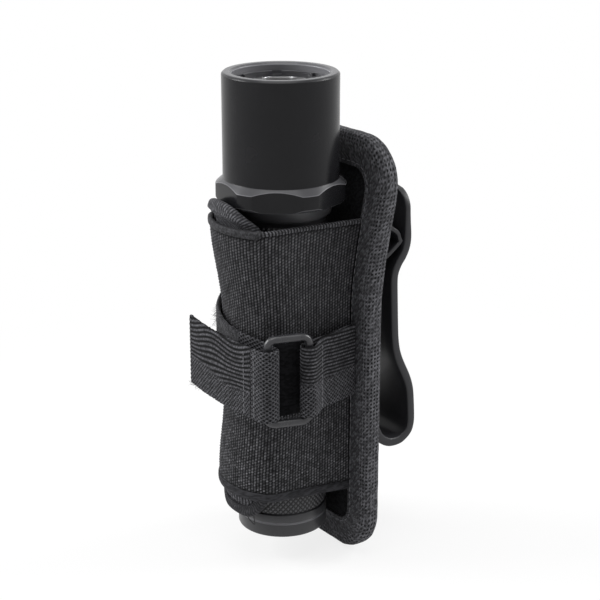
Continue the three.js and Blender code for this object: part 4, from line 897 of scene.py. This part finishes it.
def on_band(table, heights, lift=0.0):
    """Points at each column's heights, lifted off the band's outside."""
    step = BAND_LEVELS[1] - BAND_LEVELS[0]
    place = np.clip((heights - BAND_LEVELS[0]) / step, 0, len(BAND_LEVELS) - 1.001)
    level = place.astype(int)
    part = (place - level)[..., None]
    column = np.arange(heights.shape[0])[:, None]
    plan = table[level, column] * (1 - part) + table[level + 1, column] * part
    run = unit(np.gradient(plan, axis=0))
    normal = np.stack([run[..., 1], -run[..., 0]], axis=-1)
    plan = plan + normal * np.asarray(lift)[..., None]
    return np.concatenate([plan, heights[..., None]], axis=-1)


def band_edges(count):
    """Bottom and top of the band with its hems, at each column."""
    along = 1 - np.abs(np.linspace(-1, 1, count))
    along = np.minimum(1, along * 2)
    bottom = BAND.seam_bottom + (BAND.front_bottom - BAND.seam_bottom) * along
    top = BAND.seam_top + (BAND.front_top - BAND.seam_top) * along
    return bottom, top


def oversewn(count_half):
    """One where the top hem stands free and is oversewn, zero where the tongue is sewn to it."""
    level = np.full((2 * count_half - 1, 1), BAND.seam_top)
    seat = on_band(band_table(0, count_half), level)[:, 0]
    return smooth(np.degrees(np.arctan2(np.abs(seat[:, 0]), -seat[:, 1])), 36, 41)


def top_hem_height(sewn):
    return HEM.flat + (HEM.roll - HEM.flat) * sewn


def make_band():
    """Ribbed elastic: each rib is a row of beads, with gaps between; crowns are painted pale and gaps dark,
    as painted sheen and shade.
    """
    columns, sunk_bead = BAND.columns, 0.24
    stretched = lengths_along(band_line(STRAP.middle, 0, 60))[-1]
    count_half = int(stretched / 2 / BAND.rib) * columns + 1
    table = band_table(0, count_half)
    count = table.shape[1]
    bottom, top = band_edges(count)
    bottom, top = bottom + HEM.bottom - 0.2, top - top_hem_height(oversewn(count_half)) + 0.2
    tall = (top - bottom)[:, None]
    rows = int((top.mean() - bottom.mean()) / (BAND.weft / 2)) + 1
    shares = np.linspace(0, 1, rows)
    column = np.arange(count)[:, None]
    rib = np.abs(np.sin(math.pi * column / columns))
    bead = np.where((np.arange(rows)[None] + (column // columns)) % 2 == 0, 1.0, sunk_bead)
    bead_luck = chance.uniform(0.5, 1.0, (count // columns + 1, rows // 2 + 1))
    luck = np.repeat(np.repeat(bead_luck, columns, axis=0)[:count], 2, axis=1)[:, :rows]
    crest = rib ** 1.7 * bead * luck * chance.uniform(0.8, 1.0, (count, rows))
    crest = crest * (smooth(shares, 0, 0.015) * (1 - smooth(shares, 0.985, 1)))[None]
    outer = on_band(table, bottom[:, None] + tall * shares, BAND.relief * (crest - 0.5))
    inner = on_band(table, bottom[:, None] + tall * np.linspace(1, 0, 14), -BAND.thick)
    rings = np.concatenate([outer, inner], axis=1)
    crown = np.concatenate([crest, np.full(inner.shape[:2], 0.4)], axis=1)
    band = loft("elastic_sleeve", rings, ribbed_elastic, sharp=80, crown=crown)
    place_piece(band, "holster", "ribbed_elastic", "elastic_band")


def hem_rings(count_half, low, high, bulge, proud):
    """Rounded sections of a hem along the band, between two heights for each column."""
    turn = even_angles(HEM.around)
    middle, half_height = (low + high) / 2, (high - low) / 2
    reach = (BAND.thick + proud) / 2
    round_up, round_out = [np.sign(wave) * np.abs(wave) ** 0.7 for wave in (np.sin(turn), np.cos(turn))]
    heights = middle[:, None] + half_height[:, None] * round_up * bulge
    lift = proud - reach + reach * round_out * bulge
    return on_band(band_table(0, count_half), heights, lift)


def make_hems():
    """The top hem is oversewn where it stands free, and taped flat where the tongue is sewn to it."""
    count_half, stitch_pitch, flat_shade = 300, 0.95, 0.28
    bottom, top = band_edges(2 * count_half - 1)
    path = lengths_along(band_line(BAND.seam_top, 0, count_half))[:, None]
    turn = np.linspace(0, 1, HEM.around, endpoint=False)
    sewn = oversewn(count_half)[:, None]
    stitch = np.abs(np.sin(math.pi * (path / stitch_pitch + turn)))
    bulge = 1 + sewn * (0.3 * stitch - 0.15)
    proud = HEM.flat_proud + (HEM.roll_proud - HEM.flat_proud) * sewn
    rings = hem_rings(count_half, top - top_hem_height(sewn[:, 0]), top, bulge, proud)
    # Each oversewn turn takes a painted sheen at its crown.
    crown = sewn * stitch ** 3 + (1 - sewn) * flat_shade
    hem = loft("sleeve_top_hem", rings, overlock, sharp=80, crown=crown)
    place_piece(hem, "holster", "ribbed_elastic", "top_hem")
    wave = 1 + 0.05 * np.sin(path / 3.1) * np.cos(path / 7.7)
    rings = hem_rings(count_half, bottom, bottom + HEM.bottom, wave, HEM.bottom_proud)
    hem = loft("sleeve_bottom_hem", rings, folded_elastic, sharp=80)
    place_piece(hem, "holster", "ribbed_elastic", "bottom_hem")


# Tongue inside the front of the band

def tongue_inner(z):
    flare = TONGUE.flare * smooth(z, TONGUE.flare_low, TONGUE.flare_high)
    return TONGUE.inner + flare + TONGUE.lip * smooth(z, TONGUE.lip_low, TONGUE.lip_high)


def tongue_thick(z):
    bulge = TONGUE.bulge * smooth(z, TONGUE.bulge_low, TONGUE.bulge_high)
    return band_radius(z) - BAND.thick - TONGUE.gap + bulge - tongue_inner(z)


def tongue_place(across, z, depth_share):
    """Depth runs outwards, as a share of the tongue's thickness at that height."""
    radius = tongue_inner(z) + depth_share * tongue_thick(z)
    angle = across / TONGUE.wrap - TONGUE.lean * smooth(z, TONGUE.lean_low, TONGUE.lean_high)
    return np.stack([radius * np.sin(angle), -radius * np.cos(angle), z], axis=-1)


def make_tongue_binding():
    """Grosgrain tape folded over the tongue's edge and sewn down in front."""
    width = TONGUE.tape_width
    front = [
        [width, 0.22], [width - 0.2, 0.04], [width - 1, 0.08], [1.4, -0.02], [0.6, 0.1], [0.12, 0.3],
    ]
    outer = curve_through(front + [[i, 1 - d] for i, d in front[::-1]], 30)
    inside = [[width, 0.72], [1.2, 0.7], [0.6, 0.5], [1.2, 0.3], [width, 0.28]]
    section = np.concatenate([outer, inside])
    plate = plate_of(TONGUE)

    def fade(_, z):
        return 0.3 + 0.7 * smooth(z, 9, 22)

    binding = bound_edge("tongue_binding", plate, section, tongue_place, rib_tape, fade, step=0.6, sharp=60)
    place_piece(binding, "holster", "binding_tape", "front_panel_binding")
    edge_stitches(
        "tongue_stitches", plate, width - 0.9, (0.06, -0.4), tongue_place, "binding_tape", pitch=1.5,
        length=1.05, radius=0.17,
    )


def make_tongue_panel():
    """The padded tongue that lies along the front of the light."""
    plate = plate_of(TONGUE, 1.2)
    _, bottom, top, *_ = plate
    x, z, reach, _ = plate_grid(plate, 150, 41)
    from_edge = np.minimum(reach - np.abs(x), np.minimum(top - z, z - bottom))
    swell = 0.19 * smooth(from_edge, 2.1, 3.6)
    inner = tongue_place(x, z, 0.24 - swell)
    outer = tongue_place(x, z, 0.76 + swell)
    panel = loft("tongue_panel", np.concatenate([inner, outer[:, ::-1]], axis=1), twill_facing, sharp=50)
    place_piece(panel, "holster", "nylon_fabric", "front_panel")


# Strap and ring

def ring_bars():
    """Plan places of the ring's two upright bars, near and far."""
    low, high = span("strap_ring")
    near = np.array([low.x + RING.wire, low.y + RING.wire])
    far = np.array([high.x - RING.wire, high.y - RING.wire])
    return near, far


def strap_lines():
    """Plan lines of the strap: the base, its fold round the near bar, and the loose tail.

    The last value is the length along the base at which the fold starts.
    """
    near, _ = ring_bars()
    half = STRAP.thick / 2
    offset = STRAP.off_band + half
    eye = RING.wire + STRAP.gap + STRAP.ease + half
    base_radius = BAND.waist + STRAP.off_band + half
    tail_radius = base_radius + STRAP.thick + STRAP.gap
    reach = math.hypot(*near)
    bar = math.degrees(math.atan2(near[1], near[0]))
    leave = bar - math.degrees(math.acos((base_radius + eye) / reach))
    back = bar - math.degrees(math.acos((tail_radius - eye) / reach))
    corner = math.degrees(math.asin(BAND.corner / base_radius))
    around = arc((0, 0), base_radius, -90 - corner, leave, 30)
    fold = arc(near, eye, leave + 180, back, 18)
    front = arc((0, 0), tail_radius, back, back, 1)[0]
    hinge = fold[-1] + (front - fold[-1]) * 0.25
    start = [
        [-(BAND.seam + offset), PANEL.front - STRAP.gap - half], [-(BAND.side + offset), 0],
        [-(BAND.corner + offset), around[0][1] * 0.8],
    ]
    base = np.concatenate([start, around[:-4]])
    fold_line = np.concatenate([around[-5:], fold, [hinge]])
    step = unit(front - hinge) * STRAP.gap
    loose = np.array([[-0.209, -1.008], [-0.55, -1.013], [-0.921, -0.984]]) * tail_radius
    tail = np.concatenate([[hinge + step], [(hinge + step + front) / 2], [front], loose])
    fold_at = lengths_along(np.concatenate([start, around, fold[:1]]))[-1]
    return base, fold_line, tail, fold_at


def ribbon_frame(line, step):
    """A smooth plan line with even steps, its side direction and the length along it."""
    count = max(int(lengths_along(np.asarray(line, float))[-1] / step), 8)
    line = curve_through(line, count)
    run = unit(np.gradient(line, axis=0))
    return line, np.stack([run[:, 1], -run[:, 0]], axis=-1), lengths_along(line)


def ribbon(name, line, material, rise=None, width=STRAP.width, thick=STRAP.thick, rows=130, relief=0.0,
           pattern=None, step=0.2, fray=0.0, **options):
    """Webbing on edge along a plan line, with a pattern of ribs on both faces."""
    line, normal, along = ribbon_frame(line, step)
    count = len(line)
    heights = np.linspace(-width / 2, width / 2, rows)
    shift = np.zeros(count) if rise is None else rise(along, line)
    crest = np.full((count, rows), 0.6)
    if pattern:
        crest = pattern(along[:, None], heights[None, :])
    edge = np.sqrt(np.clip(1 - (np.abs(heights) / (width / 2)) ** 40, 0, 1))
    half = thick / 2 * (0.25 + 0.75 * edge) - relief
    lift = half[None] + relief * crest
    uneven = 1 + fray * chance.normal(0, 1, (count, 1)) * (np.abs(heights) / (width / 2)) ** 8
    z = STRAP.middle + shift[:, None] + heights[None, :] * uneven
    outer = np.concatenate([line[:, None] + normal[:, None] * lift[..., None], z[..., None]], axis=-1)
    inner = np.concatenate([line[:, None] - normal[:, None] * lift[..., None], z[..., None]], axis=-1)
    rings = np.concatenate([outer, inner[:, ::-1]], axis=1)
    crown = np.concatenate([crest, crest[:, ::-1]], axis=1)
    return loft(name, rings, material, sharp=80, crown=crown, **options)


def stitches_across(name, line, at, side, body, rise=0.0):
    """A row of stitches from the lower to the upper edge of a ribbon, at a length along it."""
    line, normal, along = ribbon_frame(line, 0.3)
    k = int(np.argmin(np.abs(along - at)))
    heights = np.linspace(-STRAP.width / 2 + 0.6, STRAP.width / 2 - 0.6, 40)
    plan = line[k] + side * normal[k] * (STRAP.thick / 2 - 0.03)
    path = np.column_stack([np.tile(plan, (len(heights), 1)), STRAP.middle + rise + heights])
    lifts = np.tile([*(side * normal[k]), 0], (len(heights), 1))
    stitch_row(name, path, lifts, body, "nylon_webbing", pitch=1.7, length=1.2, radius=0.17)


def lattice(along, heights, spacing, slope):
    """Yarn that crosses on two slants, with gaps between."""
    down = 0.5 + 0.5 * np.cos(TAU * (heights + slope * along) / spacing)
    up = 0.5 + 0.5 * np.cos(TAU * (heights - slope * along) / spacing)
    return np.maximum(down, up) ** 3.6


def webbing_face(pitch, slant, wander, split, spacing=1.25, slope=1.1):
    """Bold ribs over the upper part of the webbing, crossed yarn over the lower."""
    def pattern(along, heights):
        lean = slant * along + wander * np.sin(along / 3.7) * np.sin(heights / 5)
        ribs = (0.5 + 0.5 * np.cos(TAU * (heights + lean) / pitch)) ** 1.6
        beads = 0.82 + 0.18 * np.sin(TAU * (along + 0.4 * heights) / 0.9)
        share = smooth(heights + 0.9 * np.sin(along / 5), split - 1.2, split + 1.2)
        return ribs * beads * share + lattice(along, heights, spacing, slope) * (1 - share)
    return pattern


def make_strap():
    """The base climbs from its fold to the left seam, and the loose end lifts a little."""
    base, fold_line, tail, fold_at = strap_lines()
    lead = lengths_along(base)[-1] - np.linalg.norm(base[-1] - base[-2])

    def base_rise(along, _):
        return np.minimum(STRAP.climb * np.maximum(fold_at - along, 0), STRAP.base_rise)

    def fold_rise(along, line):
        return base_rise(along + lead, line)

    def tail_rise(along, _):
        return STRAP.tail_rise * np.interp(along, lengths_along(tail), [0, 0, 0.1, 0.35, 0.65, 1])

    piece = ribbon("strap_loop_side", base, loop_pile, rise=base_rise, rows=30, step=0.6, fray=0.01)
    place_piece(piece, "holster", "loop_pile", "strap_base")
    folded = webbing_face(1.3, 0, 0, STRAP.width, spacing=1.15, slope=0.8)
    piece = ribbon("strap_fold", fold_line, webbing, rise=fold_rise, relief=0.16, pattern=folded)
    place_piece(piece, "holster", "nylon_webbing")
    stitches_across("strap_stitches", fold_line, lengths_along(fold_line)[-1] - 1.1, -1, "holster")
    face = webbing_face(1.35, 0.12, 1.1, -2.6)
    piece = ribbon("strap_hook_end", tail, webbing, rise=tail_rise, relief=0.16, pattern=face, fray=0.006)
    place_piece(piece, "strap_end", "nylon_webbing", "strap_tail")
    stitches_across("strap_bar_tack", tail, 2.6, -1, "strap_end")


def make_fuzz(name, line, along_from, along_to, heights, rise, side, body, count):
    """Fibres worked loose from the webbing's edge, a little thicker than real ones so that they show."""
    line, normal, along = ribbon_frame(line, 0.3)
    at = chance.uniform(along_from, along_to, count)
    root = points_at(at, along, line)
    out = unit(points_at(at, along, normal)) * side
    high = STRAP.middle + rise + chance.uniform(*heights, count)
    start = np.column_stack([root + out * STRAP.thick * 0.45, high])
    grow = np.column_stack([out, np.zeros(count)]) + chance.normal(0, 0.55, (count, 3))
    bend = chance.normal(0, 0.8, (count, 3))
    reach = chance.uniform(0.5, 1.5, count)[:, None, None]
    shares = np.linspace(0, 1, 7)
    share = shares[None, :, None]
    middle = start[:, None] + reach * (unit(grow)[:, None] * share + bend[:, None] * share ** 2 * 0.5)
    run = unit(np.gradient(middle, axis=1))
    aside = unit(np.cross(run, [0.3, 0.2, 1]))
    girth = 0.055 * (1 - 0.6 * shares)
    piece = thin_tubes(name, middle, aside, np.cross(aside, run), girth, 4, fibre, sharp=80)
    place_piece(piece, body, "loop_pile")


def make_loose_ends():
    """Fuzz on the strap, and one thread end that hangs from the foot of the tongue."""
    base, _, tail, _ = strap_lines()
    end = lengths_along(tail)[-1]
    make_fuzz("strap_fuzz_top", base, 26, 36, (6, 10.2), STRAP.base_rise * 0.6, 1, "holster", 60)
    make_fuzz("strap_fuzz_end", tail, end - 6, end, (-10.2, -9.2), STRAP.tail_rise * 0.8, -1, "strap_end", 24)
    reach, parts = 16, 8
    angles = np.radians([15.5, 16.5, 21, 25.4, 25.2, 24.1])
    heights = [8, 6.8, 5.5, 4.8, 5.8, 8]
    thread = curve_through(np.column_stack([reach * np.sin(angles), -reach * np.cos(angles), heights]), 30)
    lifts = np.tile([0.2, -1.0, 0.0], (len(thread), 1))
    part = lengths_along(thread)[-1] / parts
    stitch_row(
        "thread_end", thread, lifts, "holster", "binding_tape", pitch=part, length=part * 1.3, radius=0.2,
        material=loose_thread,
    )


def make_anchor():
    """Doubled webbing sewn to the band's side, with an eye round the ring's far bar, and a painted shadow
    sheet behind the ring.
    """
    near, far = ring_bars()
    ring_gap, panel_gap, band_gap, slant = 0.25, 0.55, 0.4, 0.062
    eye = RING.wire + ring_gap + STRAP.thick / 2
    seam_y = PANEL.front - panel_gap
    inner_x = BAND.seam + band_gap + STRAP.thick / 2
    outer = [[inner_x + STRAP.thick + slant * (seam_y - y), y] for y in (seam_y, 9, 5, 1.6)]
    loop = arc(far, eye, 35, -176, 16)
    inner = [[inner_x + slant * (seam_y - y), y] for y in (1, 5, 9, seam_y)]

    def rise(_, line):
        return STRAP.anchor_rise * (line[:, 1] - far[1]) / (seam_y - far[1])

    line = np.concatenate([outer, loop, inner])
    face = webbing_face(1.0, -0.087, 0.1, -0.8, spacing=1.15, slope=1)
    piece = ribbon("ring_anchor", line, webbing, rise=rise, relief=0.15, pattern=face)
    place_piece(piece, "holster", "nylon_webbing", "strap_anchor")
    to_eye = lengths_along(np.array(outer))[-1]
    stitches_across("anchor_stitches", line, to_eye + 1.6, -1, "holster", rise=0.5)

    # A thin near-black sheet on the band behind the ring stands in for the shadow there: a painted shadow.
    plan = band_line(STRAP.middle, 0.2, 120)
    plan = plan[(plan[:, 0] > near[0] - 4) & (plan[:, 1] < far[1] + 2)]
    piece = ribbon("ring_window_shadow", plan, window_shadow_cloth, width=STRAP.width + 1.6, thick=0.12, rows=12, step=1)
    place_piece(piece, "holster", "nylon_webbing")


def make_ring():
    """Round wire bent to a rounded rectangle, which stands a little taller than its CAD solid."""
    near, far = ring_bars()
    low, high = span("strap_ring")
    half = np.linalg.norm(far - near) / 2
    run = unit(far - near)
    middle = (near + far) / 2
    height = (high.z - low.z + RING.taller) / 2 - RING.wire
    centre = (low.z + high.z + RING.taller) / 2
    outline, outward = rounded_plate(half, -height, height, RING.corner, RING.corner, 0.7)
    turn = even_angles(14)
    reach = outline[:, None] + outward[:, None] * (RING.wire * np.cos(turn))[None, :, None]
    aside = RING.wire * np.sin(turn)[None, :] * np.ones((len(outline), 1))
    x = middle[0] + run[0] * reach[..., 0] + run[1] * aside
    y = middle[1] + run[1] * reach[..., 0] - run[0] * aside
    ring = loft("wire_ring", np.stack([x, y, centre + reach[..., 1]], axis=-1), coated_wire, closed=True)
    place_piece(ring, "holster", "coated_wire", "strap_ring")


# Belt clip

def ribbon_section(half_width, thick, edge, across=9):
    """A flat section with round edges, as [across, off] points."""
    half = thick / 2
    flat = np.linspace(-half_width + edge, half_width - edge, across)
    face = np.stack([flat, np.full(across, -half)], -1)
    lower = arc((half_width - edge, -half + edge), edge, -90, 0, 4)[1:]
    upper = arc((half_width - edge, half - edge), edge, 0, 90, 4)[:-1]
    one_side = np.concatenate([face, lower, upper])
    return np.concatenate([one_side, -one_side])


def side_ribbon(name, line, thick, half_width, material, edge=CLIP.edge):
    """A ribbon across x along a [y, z] line, with one thickness and half width or one for each point."""
    run = unit(np.gradient(line, axis=0))
    normal = np.stack([run[:, 1], -run[:, 0]], axis=-1)
    thick, half_width = [np.broadcast_to(size, len(line)) for size in (thick, half_width)]
    rings = []
    for (y, z), (ny, nz), t, half in zip(line, normal, thick, half_width):
        section = ribbon_section(half, t, min(edge, t * 0.45))
        rings.append(np.stack([section[:, 0], y + ny * section[:, 1], z + nz * section[:, 1]], axis=-1))
    return loft(name, rings, material, sharp=40)


def clip_line():
    """The clip's middle line, as [y, z] points: down the plate, round the bend and up the arm."""
    height = CLIP.top - CLIP.bottom
    split = CLIP.front + CLIP.split * CLIP.depth
    # Places from the split, as shares of the clip's depth and height
    bend = [[-0.108, 0.0356], [-0.21, 0.0575], [-0.277, 0.086]]
    arm = [
        [0.102, 0.0168], [0.204, 0.0168], [0.293, 0.02], [0.408, 0.0336], [0.478, 0.0498], [0.51, 0.0718],
        [0.519, 0.0976], [0.503, 0.1558], [0.478, 0.2075], [0.433, 0.2437], [0.363, 0.2786],
        [0.2675, 0.3174], [0.188, 0.3523], [0.1306, 0.3885], [0.0955, 0.4337], [0.0764, 0.4919],
        [0.0573, 0.5824], [0.0446, 0.66], [0.0669, 0.6936], [0.14, 0.7246], [0.242, 0.7518],
        [0.312, 0.7815], [0.341, 0.8177], [0.334, 0.8798], [0.328, 0.9315], [0.325, 1],
    ]
    bend_line = [[split - CLIP.gap / 2 + a * CLIP.depth, CLIP.bottom + u * height] for a, u in bend]
    arm_line = [[split + CLIP.gap / 2 + a * CLIP.depth, CLIP.bottom + u * height] for a, u in arm]
    middle = [[split, CLIP.bottom + 0.0215 * height]]
    plate_y = CLIP.front + CLIP.plate / 2
    straight = bend_line[-1][1] + CLIP.bend
    plate_line = [[plate_y, z] for z in (CLIP.plate_top, (CLIP.plate_top + straight) / 2, straight)]
    return curve_through(plate_line + bend_line[::-1] + middle + arm_line, 300)


def make_clip():
    """The clip is one moulding: a plate, a round bend and a sprung arm."""
    line = clip_line()
    along = lengths_along(line)
    tip_share = np.linspace(0, 1, len(line))
    thick = CLIP.plate + (CLIP.bend - CLIP.plate) * smooth(tip_share, 0.36, 0.42)
    thick = thick + (CLIP.tip - CLIP.bend) * smooth(tip_share, 0.9, 0.96)
    half = np.full(len(line), CLIP.width / 2)
    for corner, into in ((CLIP.corner_plate, along), (CLIP.corner_arm, along[-1] - along)):
        inside = np.clip(corner - into, 0, corner)
        half = np.minimum(half, CLIP.width / 2 - corner + np.sqrt(corner ** 2 - inside ** 2 + 0.02))
    clip = side_ribbon("belt_clip", line, thick, half, moulded_nylon)
    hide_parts("clip_plate", "clip_arm")
    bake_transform(clip)


def make_barb():
    """The V-shaped barb on the plate, which keeps a belt from slipping out."""
    root = CLIP.front + CLIP.plate - BARB.root
    peak = CLIP.front + CLIP.plate + BARB.rise
    peak_z = SWIVEL_HEIGHT + BARB.above
    blunt = BARB.thick / 2
    line = curve_through([
        [root, peak_z - BARB.down], [(root + peak) / 2, peak_z - BARB.down * 0.55],
        [peak - blunt * 1.2, peak_z - blunt], [peak - 0.1, peak_z], [peak - blunt, peak_z + blunt],
        [peak - BARB.rise * 0.2, peak_z + BARB.up * 0.33],
        [root + BARB.rise * 0.35, peak_z + BARB.up * 0.66], [root, peak_z + BARB.up - BARB.root],
    ], 40)
    piece = side_ribbon("clip_barb", line, BARB.thick, BARB.width / 2, moulded_nylon, 0.3)
    place_piece(piece, "clip", "clip_plastic")


def make_swivel():
    """The swivel's cap and its screw. The flange and the washer are CAD pieces."""
    centre = (0, 0, SWIVEL_HEIGHT)
    low, high = span("swivel_cap")
    radius = (high.x - low.x) / 2
    hole = 3.9
    cap = soften([[hole, low.y], [radius, low.y], [radius, high.y], [hole, high.y]], 0.25)
    piece = spun("swivel_cap_disc", cap, even_angles(96), moulded_nylon, centre=centre, axis="y")
    place_piece(piece, "holster", "plastic_black", "swivel_cap")
    low, high = span("swivel_screw")
    head = (high.x - low.x) / 2
    shaft, head_thick = 2.0, 0.66
    floor = high.y - head_thick
    outline = [[0, low.y], [shaft, low.y], [shaft, floor], [head, floor], [head, high.y], [0, high.y]]
    soft = soften(outline, 0.15)
    soft[:, 0] = np.maximum(soft[:, 0], 0)
    piece = spun("swivel_screw_head", soft, even_angles(48), spring_steel, centre=centre, axis="y")
    place_piece(piece, "holster", "steel_bright", "swivel_screw")


# Carried-over CAD pieces, each with the finish of what it is

def dress_inner_pieces():
    for material, nodes in (
        (window_glass, "window_lens"),
        (nitrile, "window_gasket head_o_ring tail_o_ring"),
        (machined_brass, "lamp_body switch_retaining_ring"),
        (solder_mask, "led_board"),
        (phosphor, "led_emitter"),
        (shrink_wrap, "battery_cell"),
        (spring_steel, "battery_terminal lamp_ground_spring lamp_contact_spring tail_contact_spring"),
        (spring_steel, "swivel_rivet_1 swivel_rivet_2 swivel_rivet_3 swivel_rivet_4"),
        (moulded_nylon, "switch_body switch_plunger swivel_flange"),
        (cut_sheet, "back_panel_stiffener swivel_washer"),
    ):
        for node in nodes.split():
            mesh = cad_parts[node].data
            mesh.materials.clear()
            mesh.materials.append(material)


# Studio

def soft_box(name, azimuth, elevation, distance, size, watts):
    """A square lamp that faces the middle of the light, placed as a camera would be."""
    side, up = math.radians(azimuth), math.radians(elevation)
    place = (math.sin(side) * math.cos(up), -math.cos(side) * math.cos(up), math.sin(up))
    data = bpy.data.lights.new(name, "AREA")
    data.size = size
    data.energy = watts
    lamp = bpy.data.objects.new(name, data)
    bpy.context.scene.collection.objects.link(lamp)
    target = Vector(to_frame([0, 0, HEAD.top / 2]))
    lamp.location = target + Vector(place) * distance
    lamp.rotation_euler = (target - lamp.location).to_track_quat("-Z", "Y").to_euler()


def seen_by_eye(tree):
    """One where the camera sees a place, directly or in a reflection or through glass."""
    rays = add(tree, "ShaderNodeLightPath")
    seen = rays.outputs["Is Camera Ray"]
    for kind in ("Glossy", "Transmission"):
        seen = add(tree, "ShaderNodeMath", {0: seen, 1: rays.outputs[f"Is {kind} Ray"]}, operation="MAXIMUM")
    return seen


WHITE = (1, 1, 1, 1)


def make_room():
    """A dim room that looks plain white to the eye."""
    world = bpy.data.worlds.new("studio")
    bpy.context.scene.world = world
    world.use_nodes = True
    tree = world.node_tree
    tree.nodes.clear()
    room = add(tree, "ShaderNodeBackground", {"Color": WHITE, "Strength": 0.16})
    white = add(tree, "ShaderNodeBackground", {"Color": WHITE, "Strength": 1.0})
    mixed = add(tree, "ShaderNodeMixShader", {0: seen_by_eye(tree), 1: room, 2: white})
    add(tree, "ShaderNodeOutputWorld", {"Surface": mixed})


def make_floor():
    """A matt white floor that takes the shadow near the object and fades into the white room."""
    side, drop = 4.0, 0.5 * MM
    mesh = bpy.data.meshes.new("floor")
    corners = [(-side, -side, 0), (side, -side, 0), (side, side, 0), (-side, side, 0)]
    mesh.from_pydata(corners, [], [(0, 1, 2, 3)])
    floor = bpy.data.objects.new("floor", mesh)
    bpy.context.scene.collection.objects.link(floor)
    floor.location.z = to_frame([0, 0, PANEL.bottom])[2] - drop
    material, tree, shader = new_material("matt_white_floor", Roughness=0.9, Specular_IOR_Level=0.0)
    fill(tree, shader, {"Base Color": linear("f4f4f4")})
    place = add(tree, "ShaderNodeTexCoord").outputs["Object"]
    distance = add(tree, "ShaderNodeVectorMath", {0: place}, operation="LENGTH").outputs["Value"]
    far = add(tree, "ShaderNodeMapRange", {
        "Value": distance, "From Min": 0.05, "From Max": 0.22, "To Min": 0.82, "To Max": 1.0,
    }, interpolation_type="SMOOTHSTEP")
    share = product(tree, seen_by_eye(tree), far)
    white = add(tree, "ShaderNodeEmission", {"Color": WHITE, "Strength": 1.0})
    mixed = add(tree, "ShaderNodeMixShader", {0: share, 1: shader, 2: white})
    fill(tree, tree.nodes["Material Output"], {"Surface": mixed})
    mesh.materials.append(material)


make_room()
make_floor()
soft_box("left_key", -40, 30, 1.15, 0.6, 13.0)
soft_box("right_back", 156, 30, 1.1, 0.6, 9.0)
soft_box("top", 40, 78, 1.1, 0.8, 6.5)
bpy.context.scene.view_settings.view_transform = "Standard"

make_head()
make_lens_ring()
make_reflector()
make_battery_tube()
make_tail_cap()
make_boot()
make_panel_binding()
make_panel_pad()
make_band()
make_hems()
make_tongue_binding()
make_tongue_panel()
make_strap()
make_loose_ends()
make_anchor()
make_ring()
make_clip()
make_barb()
make_swivel()
dress_inner_pieces()

bpy.context.view_layer.update()
